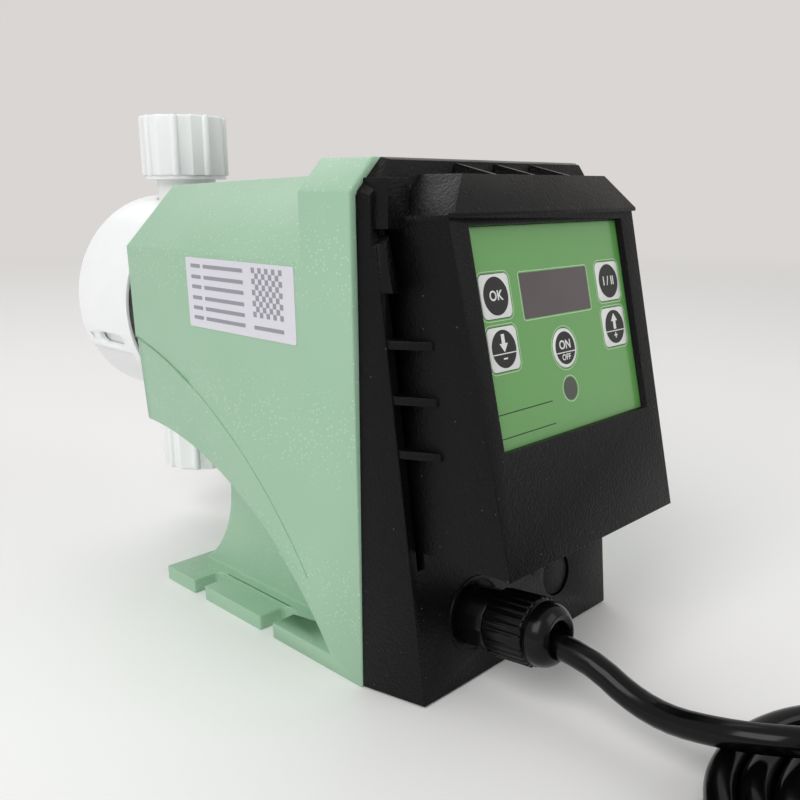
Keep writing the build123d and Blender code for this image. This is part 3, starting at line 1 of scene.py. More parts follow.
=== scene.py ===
import json
from math import atan2, cos, pi, radians, sin, tan

import bmesh
import bpy
from mathutils import Matrix, Vector


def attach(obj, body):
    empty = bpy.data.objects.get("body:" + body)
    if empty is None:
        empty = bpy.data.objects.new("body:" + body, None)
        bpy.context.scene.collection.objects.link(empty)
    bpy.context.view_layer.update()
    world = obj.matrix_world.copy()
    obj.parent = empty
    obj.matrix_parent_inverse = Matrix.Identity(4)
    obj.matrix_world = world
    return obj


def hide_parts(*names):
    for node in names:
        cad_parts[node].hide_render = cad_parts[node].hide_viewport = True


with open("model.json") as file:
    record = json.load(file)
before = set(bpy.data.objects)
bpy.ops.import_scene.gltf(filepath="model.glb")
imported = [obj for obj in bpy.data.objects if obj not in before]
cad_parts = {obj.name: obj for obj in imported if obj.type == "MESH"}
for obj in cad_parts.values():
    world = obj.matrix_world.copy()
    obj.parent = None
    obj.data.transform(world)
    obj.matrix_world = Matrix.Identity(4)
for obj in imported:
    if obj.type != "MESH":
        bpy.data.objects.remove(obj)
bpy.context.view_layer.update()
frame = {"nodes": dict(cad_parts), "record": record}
print("frame loaded")

mm = 0.001
nodes = frame["nodes"]


def linear(hexColour):
    # sRGB hex to linear RGBA
    values = [int(hexColour[i : i + 2], 16) / 255 for i in (0, 2, 4)]
    return [v / 12.92 if v <= 0.04045 else ((v + 0.055) / 1.055) ** 2.4 for v in values] + [1]


camera = {
    "place": (-0.2195, -0.2491, 0.15165),
    "heading": -45.4,  # degrees about Z
    "dip": 16.16,  # degrees below level
    "lens": 39.22,
    "sensor": 36.0,
    "shiftUp": 0.05,
}
studio = {
    "floor": "fbfaf9",
    "fade": (0.55, 1.9),  # metres from the object over which the floor turns into the backdrop
    "floorSize": 8.0,
    "back": "d9d6d3",
    "sky": 0.40,
}
lamps = [
    {"name": "windowLamp", "place": (-1.3, -0.3, 1.3), "size": 1.2, "power": 17},
    {"name": "frontLamp", "place": (0.6, -1.5, 1.2), "size": 1.1, "power": 6},
    {"name": "backLamp", "place": (0.5, 1.3, 1.6), "size": 1.4, "power": 8},
]
aimPoint = Vector((0, 0, 0.08))


def addNode(tree, kind, settings=(), links=()):
    # settings go to a socket by name or number, or to the node itself; links are socket: source
    node = tree.nodes.new("ShaderNode" + kind)
    for key, value in dict(settings).items():
        if isinstance(key, int) or key in node.inputs:
            node.inputs[key].default_value = value
        else:
            setattr(node, key, value)
    for key, source in dict(links).items():
        tree.links.new(source, node.inputs[key])
    return node


def newMaterial(name, look):
    material = bpy.data.materials.new(name)
    material.use_nodes = True
    tree = material.node_tree
    shader = tree.nodes["Principled BSDF"]
    for key, value in look.items():
        shader.inputs[key].default_value = value
    place = addNode(tree, "TexCoord").outputs["Object"]
    return material, tree, shader, place


def perMm(size):
    # texture scale for a pattern of this many millimetres
    return 1 / (size * mm)


def setUpCamera():
    data = bpy.data.cameras.new("viewCamera")
    data.lens = camera["lens"]
    data.sensor_width = camera["sensor"]
    data.shift_y = camera["shiftUp"]
    data.clip_start = 0.01
    eye = bpy.data.objects.new("viewCamera", data)
    eye.location = camera["place"]
    eye.rotation_euler = (radians(90 - camera["dip"]), 0, radians(camera["heading"]))
    bpy.context.scene.collection.objects.link(eye)
    bpy.context.scene.camera = eye


def setUpStudio():
    bpy.ops.mesh.primitive_plane_add(size=studio["floorSize"])
    floor = bpy.context.object
    floor.name = "floor"
    material, tree, shader, place = newMaterial("paintedBoard", {"Roughness": 0.6})
    shader.inputs["Base Color"].default_value = linear(studio["floor"])
    distance = addNode(tree, "VectorMath", {"operation": "LENGTH"}, {0: place})
    near, far = studio["fade"]
    away = addNode(
        tree, "MapRange", {"From Min": near, "From Max": far}, {"Value": distance.outputs["Value"]}
    )
    ray = addNode(tree, "LightPath")
    faded = addNode(
        tree, "Math", {"operation": "MULTIPLY"}, {0: away.outputs[0], 1: ray.outputs["Is Camera Ray"]}
    )
    backdrop = addNode(tree, "Emission", {"Color": linear(studio["back"]), "Strength": 1.0})
    mixed = addNode(
        tree, "MixShader", {}, {0: faded.outputs[0], 1: shader.outputs[0], 2: backdrop.outputs[0]}
    )
    tree.links.new(mixed.outputs[0], tree.nodes["Material Output"].inputs["Surface"])
    floor.data.materials.append(material)
    for lamp in lamps:
        data = bpy.data.lights.new(lamp["name"], "AREA")
        data.size = lamp["size"]
        data.energy = lamp["power"]
        light = bpy.data.objects.new(lamp["name"], data)
        light.location = lamp["place"]
        light.rotation_euler = (aimPoint - Vector(lamp["place"])).to_track_quat("-Z", "Y").to_euler()
        bpy.context.scene.collection.objects.link(light)
    world = bpy.data.worlds.new("studioSky")
    bpy.context.scene.world = world
    world.use_nodes = True
    tree = world.node_tree
    tree.nodes.clear()
    ray = addNode(tree, "LightPath")
    seen = ray.outputs["Is Camera Ray"]
    for kind in ("Is Glossy Ray", "Is Transmission Ray"):
        seen = addNode(tree, "Math", {"operation": "MAXIMUM"}, {0: seen, 1: ray.outputs[kind]}).outputs[0]
    sky = addNode(tree, "Background", {"Color": (1, 1, 1, 1), "Strength": studio["sky"]})
    back = addNode(tree, "Background", {"Color": linear(studio["back"]), "Strength": 1.0})
    mixed = addNode(tree, "MixShader", {}, {0: seen, 1: sky.outputs[0], 2: back.outputs[0]})
    addNode(tree, "OutputWorld", {}, {"Surface": mixed.outputs[0]})
    bpy.context.scene.view_settings.view_transform = "Standard"


setUpCamera()
setUpStudio()
print("camera, floor and light ready")


def flameRetardantPolypropylene():
    # moulded housing: sage green, fine eroded grain, and scattered pale flecks that are painted glints
    # standing in for the surface's sparkle;
    # the real grain and sparkle are under half a millimetre and drawn coarser here so that they show
    material, tree, shader, place = newMaterial("sagePolypropylene", {"Roughness": 0.42, "IOR": 1.49})
    cloud = addNode(tree, "TexNoise", {"Scale": perMm(45), "Detail": 2}, {"Vector": place})
    base = addNode(
        tree,
        "Mix",
        {"data_type": "RGBA", 6: linear("98bea0"), 7: linear("a3c6ab")},
        {0: cloud.outputs["Fac"]},
    )
    # painted glints: a few pale specks lightened into the base colour where the surface would sparkle
    paintedGlintCells = addNode(tree, "TexVoronoi", {"Scale": perMm(0.9)}, {"Vector": place})
    chance = addNode(tree, "SeparateColor", {}, {0: paintedGlintCells.outputs["Color"]})
    chosen = addNode(tree, "Math", {"operation": "GREATER_THAN", 1: 0.86}, {0: chance.outputs[0]})
    near = addNode(tree, "Math", {"operation": "LESS_THAN", 1: 0.34}, {0: paintedGlintCells.outputs["Distance"]})
    spark = addNode(tree, "Math", {"operation": "MULTIPLY"}, {0: chosen.outputs[0], 1: near.outputs[0]})
    faded = addNode(tree, "Math", {"operation": "MULTIPLY", 1: 0.35}, {0: spark.outputs[0]})
    colour = addNode(
        tree,
        "Mix",
        {"data_type": "RGBA", 7: linear("dceedd")},
        {0: faded.outputs[0], 6: base.outputs[2]},
    )
    tree.links.new(colour.outputs[2], shader.inputs["Base Color"])
    grain = addNode(tree, "TexNoise", {"Scale": perMm(0.8), "Detail": 3}, {"Vector": place})
    bump = addNode(
        tree, "Bump", {"Strength": 0.5, "Distance": 0.03 * mm}, {"Height": grain.outputs["Fac"]}
    )
    tree.links.new(bump.outputs[0], shader.inputs["Normal"])
    return material


def texturedAbs():
    # moulded cover: black, coarse spark-eroded grain that breaks up the highlights, a little dust;
    # the grain is drawn at about twice its real size so that it shows
    material, tree, shader, place = newMaterial("blackTexturedAbs", {"IOR": 1.53, "Specular IOR Level": 0.13})
    eroded = {"Scale": perMm(0.95), "Detail": 4, "Roughness": 0.6}
    grain = addNode(tree, "TexNoise", eroded, {"Vector": place})
    wave = addNode(tree, "TexNoise", {"Scale": perMm(18), "Detail": 2}, {"Vector": place})
    rough = addNode(
        tree,
        "MapRange",
        {"From Min": 0.3, "From Max": 0.7, "To Min": 0.22, "To Max": 0.34},
        {"Value": wave.outputs["Fac"]},
    )
    tree.links.new(rough.outputs[0], shader.inputs["Roughness"])
    dust = addNode(tree, "TexVoronoi", {"Scale": perMm(2.4)}, {"Vector": place})
    speck = addNode(tree, "Math", {"operation": "LESS_THAN", 1: 0.07}, {"Value": dust.outputs["Distance"]})
    tint = addNode(tree, "SeparateColor", {}, {0: dust.outputs["Color"]})
    chosen = addNode(tree, "Math", {"operation": "GREATER_THAN", 1: 0.8}, {0: tint.outputs[1]})
    shown = addNode(tree, "Math", {"operation": "MULTIPLY"}, {0: speck.outputs[0], 1: chosen.outputs[0]})
    faded = addNode(tree, "Math", {"operation": "MULTIPLY", 1: 0.5}, {0: shown.outputs[0]})
    colour = addNode(
        tree,
        "Mix",
        {"data_type": "RGBA", 6: linear("09090a"), 7: linear("8d8d8d")},
        {0: faded.outputs[0]},
    )
    tree.links.new(colour.outputs[2], shader.inputs["Base Color"])
    bump = addNode(
        tree, "Bump", {"Strength": 1.0, "Distance": 0.26 * mm}, {"Height": grain.outputs["Fac"]}
    )
    tree.links.new(bump.outputs[0], shader.inputs["Normal"])
    return material


def printedFilm(name, shade, lightShade, roughness=0.24):
    # polyester printed on its back, or a lapped face: flat colour under a smooth, faintly rippled gloss
    material, tree, shader, place = newMaterial(
        name, {"Roughness": roughness, "IOR": 1.57, "Coat Weight": 0.5, "Coat Roughness": 0.08}
    )
    cloud = addNode(tree, "TexNoise", {"Scale": perMm(60), "Detail": 1}, {"Vector": place})
    colour = addNode(
        tree,
        "Mix",
        {"data_type": "RGBA", 6: linear(shade), 7: linear(lightShade)},
        {0: cloud.outputs["Fac"]},
    )
    tree.links.new(colour.outputs[2], shader.inputs["Base Color"])
    ripple = addNode(tree, "TexNoise", {"Scale": perMm(5), "Detail": 1}, {"Vector": place})
    bump = addNode(
        tree, "Bump", {"Strength": 0.2, "Distance": 0.02 * mm}, {"Height": ripple.outputs["Fac"]}
    )
    tree.links.new(bump.outputs[0], shader.inputs["Normal"])
    return material


def smokedAcrylic(name, shade, lightShade):
    # tinted window: dark, very smooth, a slightly milky depth
    material, tree, shader, place = newMaterial(
        name, {"Roughness": 0.12, "IOR": 1.49, "Coat Weight": 0.6, "Coat Roughness": 0.05}
    )
    haze = addNode(tree, "TexNoise", {"Scale": perMm(22), "Detail": 2}, {"Vector": place})
    colour = addNode(
        tree,
        "Mix",
        {"data_type": "RGBA", 6: linear(shade), 7: linear(lightShade)},
        {0: haze.outputs["Fac"]},
    )
    tree.links.new(colour.outputs[2], shader.inputs["Base Color"])
    return material


def smoothPolymer(name, shade, roughness, rippleMm, depthMm):
    # extruded or moulded rubber, nylon and PVC: smooth skin, patchy gloss and slow ripples
    material, tree, shader, place = newMaterial(
        name, {"Roughness": roughness, "IOR": 1.53, "Specular IOR Level": 0.19}
    )
    smear = addNode(tree, "TexNoise", {"Scale": perMm(9), "Detail": 3}, {"Vector": place})
    rough = addNode(
        tree,
        "MapRange",
        {"From Min": 0.3, "From Max": 0.7, "To Min": roughness - 0.05, "To Max": roughness + 0.1},
        {"Value": smear.outputs["Fac"]},
    )
    tree.links.new(rough.outputs[0], shader.inputs["Roughness"])
    shader.inputs["Base Color"].default_value = linear(shade)
    ripple = addNode(tree, "TexNoise", {"Scale": perMm(rippleMm), "Detail": 2}, {"Vector": place})
    bump = addNode(
        tree, "Bump", {"Strength": 0.4, "Distance": depthMm * mm}, {"Height": ripple.outputs["Fac"]}
    )
    tree.links.new(bump.outputs[0], shader.inputs["Normal"])
    return material


def naturalPolypropylene(name, shade, darkShade):
    # white moulded or turned wetted plastic: waxy, a little light passes into it
    material, tree, shader, place = newMaterial(
        name,
        {
            "Roughness": 0.36,
            "IOR": 1.49,
            "Subsurface Weight": 0.12,
            "Subsurface Radius": (0.004, 0.004, 0.004),
            "Subsurface Scale": 0.5,
        },
    )
    cloud = addNode(tree, "TexNoise", {"Scale": perMm(14), "Detail": 3}, {"Vector": place})
    colour = addNode(
        tree,
        "Mix",
        {"data_type": "RGBA", 6: linear(darkShade), 7: linear(shade)},
        {0: cloud.outputs["Fac"]},
    )
    tree.links.new(colour.outputs[2], shader.inputs["Base Color"])
    skin = addNode(tree, "TexNoise", {"Scale": perMm(1.6), "Detail": 2}, {"Vector": place})
    bump = addNode(
        tree, "Bump", {"Strength": 0.3, "Distance": 0.02 * mm}, {"Height": skin.outputs["Fac"]}
    )
    tree.links.new(bump.outputs[0], shader.inputs["Normal"])
    return material


def machinedMetal(name, shade, roughness, grainMm):
    # turned or plated steel and iron: fine tool marks vary the gloss
    material, tree, shader, place = newMaterial(name, {"Metallic": 1.0})
    shader.inputs["Base Color"].default_value = linear(shade)
    marks = addNode(tree, "TexNoise", {"Scale": perMm(grainMm), "Detail": 3}, {"Vector": place})
    rough = addNode(
        tree,
        "MapRange",
        {"From Min": 0.3, "From Max": 0.7, "To Min": roughness - 0.08, "To Max": roughness + 0.08},
        {"Value": marks.outputs["Fac"]},
    )
    tree.links.new(rough.outputs[0], shader.inputs["Roughness"])
    return material


def copperWinding():
    # enamelled wire side by side: bands half a millimetre apart along the pump axis
    material, tree, shader, place = newMaterial("enamelledCopper", {"Metallic": 0.9, "Roughness": 0.32})
    shader.inputs["Base Color"].default_value = linear("b4693a")
    wires = addNode(
        tree,
        "TexWave",
        {"bands_direction": "Y", "Scale": perMm(0.5) / 20, "Distortion": 0.3},
        {"Vector": place},
    )
    bump = addNode(
        tree, "Bump", {"Strength": 0.8, "Distance": 0.2 * mm}, {"Height": wires.outputs["Fac"]}
    )
    tree.links.new(bump.outputs[0], shader.inputs["Normal"])
    return material


def solderMask():
    # green lacquered circuit board, tracks seen as slightly lighter lines
    material, tree, shader, place = newMaterial("solderMask", {"Roughness": 0.3, "IOR": 1.55})
    tracks = addNode(
        tree,
        "TexBrick",
        {
            "Scale": perMm(6),
            "Mortar Size": 0.04,
            "Color1": linear("2d6a3c"),
            "Color2": linear("2f7040"),
            "Mortar": linear("4b8a55"),
        },
        {"Vector": place},
    )
    tree.links.new(tracks.outputs["Color"], shader.inputs["Base Color"])
    return material


def printedInk(name, shade, roughness):
    # screen ink: flat colour, slightly uneven where it was pressed through the screen
    material, tree, shader, place = newMaterial(name, {"Roughness": roughness, "IOR": 1.5})
    weave = addNode(tree, "TexNoise", {"Scale": perMm(0.4), "Detail": 1}, {"Vector": place})
    shader.inputs["Base Color"].default_value = linear(shade)
    bump = addNode(
        tree, "Bump", {"Strength": 0.2, "Distance": 0.01 * mm}, {"Height": weave.outputs["Fac"]}
    )
    tree.links.new(bump.outputs[0], shader.inputs["Normal"])
    return material


inkBlack = printedInk("blackScreenInk", "121214", 0.3)
inkWhite = printedInk("whiteScreenInk", "e9ece9", 0.4)
inkPale = printedInk("paleGreenScreenInk", "b4d3aa", 0.4)
inkGrey = printedInk("greyThermalPrint", "94939c", 0.5)

finishes = {
    "housing_green": flameRetardantPolypropylene(),
    "cover_black": texturedAbs(),
    "panel_green": printedFilm("greenOverlayFilm", "5f9f50", "69a95b"),
    "display_dark": smokedAcrylic("smokedWindow", "41363b", "584b50"),
    "indicator_dark": smokedAcrylic("smokedLens", "2c332b", "444d42"),
    "key_white": printedFilm("whiteKeyFilm", "e4e8e4", "edefec"),
    "rubber_black": smoothPolymer("nitrileRubber", "1b1b1b", 0.6, 1.2, 0.03),
    "board_green": solderMask(),
    "component_black": smoothPolymer("epoxyMoulding", "232327", 0.5, 0.8, 0.02),
    "steel": machinedMetal("zincPlatedSteel", "c3c5c6", 0.32, 0.8),
    "iron": machinedMetal("turnedSoftIron", "94979a", 0.4, 0.5),
    "copper": copperWinding(),
    "head_white": naturalPolypropylene("whitePolypropylene", "f9fafa", "f2f4f5"),
    "valve_white": naturalPolypropylene("turnedPolypropylene", "f3f5f3", "e9ece9"),
    "spacer_black": smoothPolymer("blackPolypropylene", "1f1f20", 0.42, 1.0, 0.03),
    "ptfe": naturalPolypropylene("ptfeSheet", "f4f2ec", "eceae3"),
    "ceramic": printedFilm("groundCeramic", "f0eee8", "f6f4ee", 0.15),
    "bearing": smoothPolymer("bearingPolymer", "56564f", 0.5, 0.6, 0.02),
    "cord_black": smoothPolymer("pvcSheath", "070709", 0.14, 14, 0.1),
    "nylon_black": smoothPolymer("glandNylon", "08080a", 0.2, 1.1, 0.03),
    "label_pale": printedFilm("labelFilm", "d3d2db", "dddce4", 0.35),
    "pin_plated": machinedMetal("nickelPlate", "cfd0d2", 0.22, 1.0),
}
for part in frame["record"]["subparts"]:
    node = nodes[part["node"]]
    if not node.material_slots:
        node.data.materials.append(None)
    for slot in node.material_slots:
        slot.material = finishes[part["material_slot"]]
print("materials made")


bodyOf = {name: body for body, members in frame["record"]["behaviour"]["bodies"].items() for name in members}
slotOf = {part["node"]: part["material_slot"] for part in frame["record"]["subparts"]}


def selectOnly(piece):
    for other in bpy.context.selected_objects:
        other.select_set(False)
    piece.select_set(True)
    bpy.context.view_layer.objects.active = piece


def applyPlace(piece):
    selectOnly(piece)
    bpy.ops.object.transform_apply(location=True, rotation=True, scale=True)


def finishPiece(piece, name, slotName, body, material=None):
    piece.name = name
    piece.data.name = name
    piece.data.materials.clear()
    piece.data.materials.append(material or finishes[slotName])
    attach(piece, body)
    return piece


softening = {
    "weld": 0.002,  # corners nearer than this are one
    "flat": 0.3,  # degrees within which neighbouring faces are one
    "smooth": 28,  # degrees up to which the shading runs on
}


def softenEdges(nodeName, radius, sharp, segments):
    # a moulded piece with its corners of more than the sharp angle rounded as the tool leaves them
    piece = bpy.data.objects.new(nodeName + "Moulding", nodes[nodeName].data.copy())
    bpy.context.scene.collection.objects.link(piece)
    selectOnly(piece)
    bpy.ops.object.mode_set(mode="EDIT")
    bpy.ops.mesh.select_all(action="SELECT")
    bpy.ops.mesh.remove_doubles(threshold=softening["weld"] * mm)
    bpy.ops.mesh.dissolve_limited(angle_limit=radians(softening["flat"]))
    bpy.ops.mesh.quads_convert_to_tris(quad_method="BEAUTY", ngon_method="BEAUTY")
    bpy.ops.object.mode_set(mode="OBJECT")
    bevel = piece.modifiers.new("moulding radius", "BEVEL")
    bevel.width = radius * mm
    bevel.segments = segments
    bevel.limit_method = "ANGLE"
    bevel.angle_limit = radians(sharp)
    bevel.use_clamp_overlap = False
    bpy.ops.object.modifier_apply(modifier=bevel.name)
    bpy.ops.object.shade_smooth_by_angle(angle=radians(softening["smooth"]))
    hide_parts(nodeName)
    return finishPiece(piece, nodeName + "Moulding", slotOf[nodeName], bodyOf[nodeName])


lead = {
    "radius": 3.9,
    "route": [
        (-24.0, -83.0, 20.63),
        (-24.0, -126.3, 25.73),
        (-24.2, -151.0, 13.4),
        (-27.3, -176.5, 20.2),
        (-17.5, -194.3, 22.2),
        (-3.6, -203.0, 17.8),
        (5.6, -209.4, 12.4),
        (10.2, -218.3, 7.0),
        (11.9, -229.2, 4.6),
    ],
    "tail": [
        (-15.5, -189.9, 12.2),
        (3.0, -193.6, 18.0),
        (15.5, -205.0, 23.0),
        (19.0, -226.0, 26.0),
        (8.0, -248.5, 30.5),
        (-14.0, -257.5, 34.1),
        (-41.0, -257.5, 34.1),
    ],
    "coilCentre": (-19.0, -222.5),
    "strands": [(32.2, 3.9), (40.0, 3.9), (47.8, 3.9), (47.8, 11.7), (40.0, 11.7), (32.2, 11.7)],
    "step": 20,  # degrees between points
    "crossing": (50, -20),  # sector where each turn steps over to the next
    "riser": 3,  # the turn that climbs from the floor to the top layer
    "roundSwing": 3.4,  # how far the riser swings out past the strand beside it
    "start": -32,
    "leave": 100,
    "length": 1.8,  # metres
}


def coilPoints():
    # three turns outwards on the floor, one step up, three turns inwards on top, all clockwise
    strands = lead["strands"]
    crossStart, crossEnd = lead["crossing"]
    stretch = 1 / cos(radians(lead["step"] / 2))
    centre = Vector((*lead["coilCentre"], 0))
    points = []
    angle = lead["start"]
    while angle > lead["leave"] - 360 * len(strands):
        passed = (crossStart - angle) / 360  # turns since the crossing began
        turn = int(passed)
        share = (passed - turn) * 360 / (crossStart - crossEnd)
        if turn == 0 or share >= 1:
            radius, height = strands[turn]
        else:
            here, there = strands[turn - 1], strands[turn]
            ease = share * share * (3 - 2 * share)
            radius = here[0] + (there[0] - here[0]) * ease
            height = here[1] + (there[1] - here[1]) * ease
            if turn == lead["riser"]:
                radius += lead["roundSwing"] * sin(pi * share)
        spot = Vector((cos(radians(angle)), sin(radians(angle)), 0)) * radius * stretch
        points.append(centre + spot + Vector((0, 0, height)))
        angle -= lead["step"]
    return points


def makeLead():
    points = [Vector(p) for p in lead["route"]] + coilPoints() + [Vector(p) for p in lead["tail"]]
    curve = bpy.data.curves.new("mainsLead", "CURVE")
    curve.dimensions = "3D"
    spline = curve.splines.new("NURBS")
    spline.points.add(len(points) - 1)
    for point, place in zip(spline.points, points):
        point.co = (*(place * mm), 1)
    spline.order_u = 3
    spline.use_endpoint_u = True
    spline.resolution_u = 6
    curve.bevel_depth = lead["radius"] * mm
    curve.bevel_resolution = 5
    curve.use_fill_caps = True
    piece = bpy.data.objects.new("mainsLead", curve)
    bpy.context.scene.collection.objects.link(piece)
    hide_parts("power_cord", "cord_coil", "cord_tail")
    finishPiece(piece, "mainsLead", "cord_black", "pump")


plugPiece = softenEdges("plug_body", 0.5, 30, 2)
makeLead()
print("lead laid")


# the panel's own frame: X along the panel, Y up the slanted face, Z out of it
panel = {"origin": (0, -118.6, 48.2), "slant": 13.8, "film": -2.3, "keyTop": -2.1}
# the side walls lean out from the foot; depth is counted from the joint to the control cover
wall = {"footHalfWidth": 55.4, "lean": 0.988, "joint": -70.5}
labelSpot = {"depth": 53.35, "height": 117.8}


def panelFrame(x, up, lift):
    origin = Vector(panel["origin"]) * mm
    turn = Matrix.Rotation(radians(90 - panel["slant"]), 4, "X")
    return Matrix.Translation(origin) @ turn @ Matrix.Translation(Vector((x, up, lift)) * mm)


def labelFrame(along, up, lift):
    # X runs towards the panel, as the label is read from the left side
    halfWidth = wall["footHalfWidth"] + tan(radians(wall["lean"])) * labelSpot["height"]
    origin = Vector((-halfWidth, wall["joint"] + labelSpot["depth"], labelSpot["height"]))
    turn = Matrix.Rotation(radians(-90), 4, "Z") @ Matrix.Rotation(radians(90 + wall["lean"]), 4, "X")
    return Matrix.Translation(origin * mm) @ turn @ Matrix.Translation(Vector((along, up, lift)) * mm)


def startPlane(width, height):
    bpy.ops.object.select_all(action="DESELECT")
    bpy.ops.mesh.primitive_plane_add(size=1)
    piece = bpy.context.object
    piece.scale = (width * mm, height * mm, 1)
    applyPlace(piece)
    return piece


def pullUp(thickness):
    # in edit mode: give the selected flat shape its thickness
    bpy.ops.mesh.select_all(action="SELECT")
    bpy.ops.mesh.extrude_region_move(TRANSFORM_OT_translate={"value": (0, 0, thickness * mm)})
    bpy.ops.mesh.select_all(action="SELECT")
    bpy.ops.mesh.normals_make_consistent(inside=False)


def roundedPlate(width, height, corner, thickness, opening=0):
    # flat plate with round corners, or a line of the given width round its edge
    piece = startPlane(width, height)
    bpy.ops.object.mode_set(mode="EDIT")
    bpy.ops.mesh.select_all(action="SELECT")
    if corner:
        bpy.ops.mesh.bevel(offset=corner * mm, segments=8, affect="VERTICES")
    if opening:
        bpy.ops.mesh.select_all(action="SELECT")
        bpy.ops.mesh.inset(thickness=opening * mm)
        bpy.ops.mesh.delete(type="FACE")
    pullUp(thickness)
    bpy.ops.object.mode_set(mode="OBJECT")
    return piece


def roundPlate(radius, thickness, opening=0):
    bpy.ops.object.select_all(action="DESELECT")
    bpy.ops.mesh.primitive_circle_add(vertices=64, radius=radius * mm, fill_type="NGON")
    piece = bpy.context.object
    bpy.ops.object.mode_set(mode="EDIT")
    bpy.ops.mesh.select_all(action="SELECT")
    if opening:
        bpy.ops.mesh.inset(thickness=opening * mm)
        bpy.ops.mesh.delete(type="FACE")
    pullUp(thickness)
    bpy.ops.object.mode_set(mode="OBJECT")
    return piece


arrow = {  # shares of the arrow's length, apart from the two widths
    "stemWidth": 0.28,
    "stemLength": 0.5,
    "shoulder": 0.001,
    "headSpread": 2.5,  # of the stem's width
    "headLength": 0.46,
    "tip": 0.02,  # of the head's width
    "setBack": 0.22,
}


def arrowPlate(length, way, thickness):
    # stem, then the head's broad base, then its point
    piece = startPlane(arrow["stemWidth"] * length, arrow["stemLength"] * length)
    bpy.ops.object.mode_set(mode="EDIT")
    bpy.ops.mesh.select_all(action="DESELECT")
    mesh = bmesh.from_edit_mesh(piece.data)
    bpy.ops.mesh.select_mode(type="EDGE")
    for edge in mesh.edges:
        edge.select = all(corner.co.y > 0 for corner in edge.verts)
    bmesh.update_edit_mesh(piece.data)
    for rise, spread in ((arrow["shoulder"], arrow["headSpread"]), (arrow["headLength"], arrow["tip"])):
        bpy.ops.mesh.extrude_region_move(TRANSFORM_OT_translate={"value": (0, rise * length * mm, 0)})
        bpy.ops.transform.resize(value=(spread, 1, 1))
    pullUp(thickness)
    bpy.ops.object.mode_set(mode="OBJECT")
    piece.location = (0, -arrow["setBack"] * length * mm * way, 0)
    piece.rotation_euler = (0, 0, 0 if way > 0 else pi)
    applyPlace(piece)
    return piece


def wordPlate(word, size, thickness):
    bpy.ops.object.select_all(action="DESELECT")
    bpy.ops.object.text_add()
    piece = bpy.context.object
    piece.data.body = word
    piece.data.size = size * mm
    piece.data.align_x = "CENTER"
    piece.data.align_y = "CENTER"
    piece.data.extrude = thickness / 2 * mm
    piece.data.offset = 0.02 * size * mm
    piece.data.space_character = 1.02
    bpy.ops.object.convert(target="MESH")
    return bpy.context.object


def placeGroup(pieces, places, name, slotName, body, material):
    # each flat piece goes to its place, then they become one printed piece
    for piece, place in zip(pieces, places):
        piece.matrix_world = place
        applyPlace(piece)
    bpy.ops.object.select_all(action="DESELECT")
    for piece in pieces:
        piece.select_set(True)
    bpy.context.view_layer.objects.active = pieces[0]
    if len(pieces) > 1:
        bpy.ops.object.join()
    return finishPiece(bpy.context.object, name, slotName, body, material)


mouldings = {  # radius in mm, sharp angle in degrees, segments
    "housing": (0.7, 30, 3),
    "control_cover": (0.15, 30, 2),
    "head_cover": (0.5, 30, 2),
    "head_spacer": (0.4, 30, 2),
    "liquid_end": (0.35, 30, 2),
    "discharge_nut": (0.22, 24, 2),
    "suction_nut": (0.22, 24, 2),
    "discharge_clamp_ring": (0.3, 30, 2),
    "suction_clamp_ring": (0.3, 30, 2),
    "gland_body": (0.25, 30, 2),
    "gland_nut": (0.3, 24, 2),
    "blanking_disc": (0.25, 30, 2),
    "key_set": (0.25, 30, 2),
    "key_mode": (0.25, 30, 2),
    "key_down": (0.25, 30, 2),
    "key_up": (0.25, 30, 2),
    "key_start_stop": (0.25, 30, 2),
}
for nodeName, (radius, sharp, segments) in mouldings.items():
    softenEdges(nodeName, radius, sharp, segments)
print("mouldings softened")


# rounded lip along the top of the facet on both side walls, spun as an arc in the wall's plane
crease = {
    "points": [(25.0, 30.0), (66.5, 72.8), (121.6, 97.9)],  # depth and height
    "radius": 0.42,
    "sink": 0.12,
    "roundSides": 10,
    "steps": 64,
}


def circleThrough(a, b, c):
    # middle of the circle through three points
    d = 2 * (a[0] * (b[1] - c[1]) + b[0] * (c[1] - a[1]) + c[0] * (a[1] - b[1]))
    squares = [p[0] ** 2 + p[1] ** 2 for p in (a, b, c)]
    x = (squares[0] * (b[1] - c[1]) + squares[1] * (c[1] - a[1]) + squares[2] * (a[1] - b[1])) / d
    y = (squares[0] * (c[0] - b[0]) + squares[1] * (a[0] - c[0]) + squares[2] * (b[0] - a[0])) / d
    return x, y


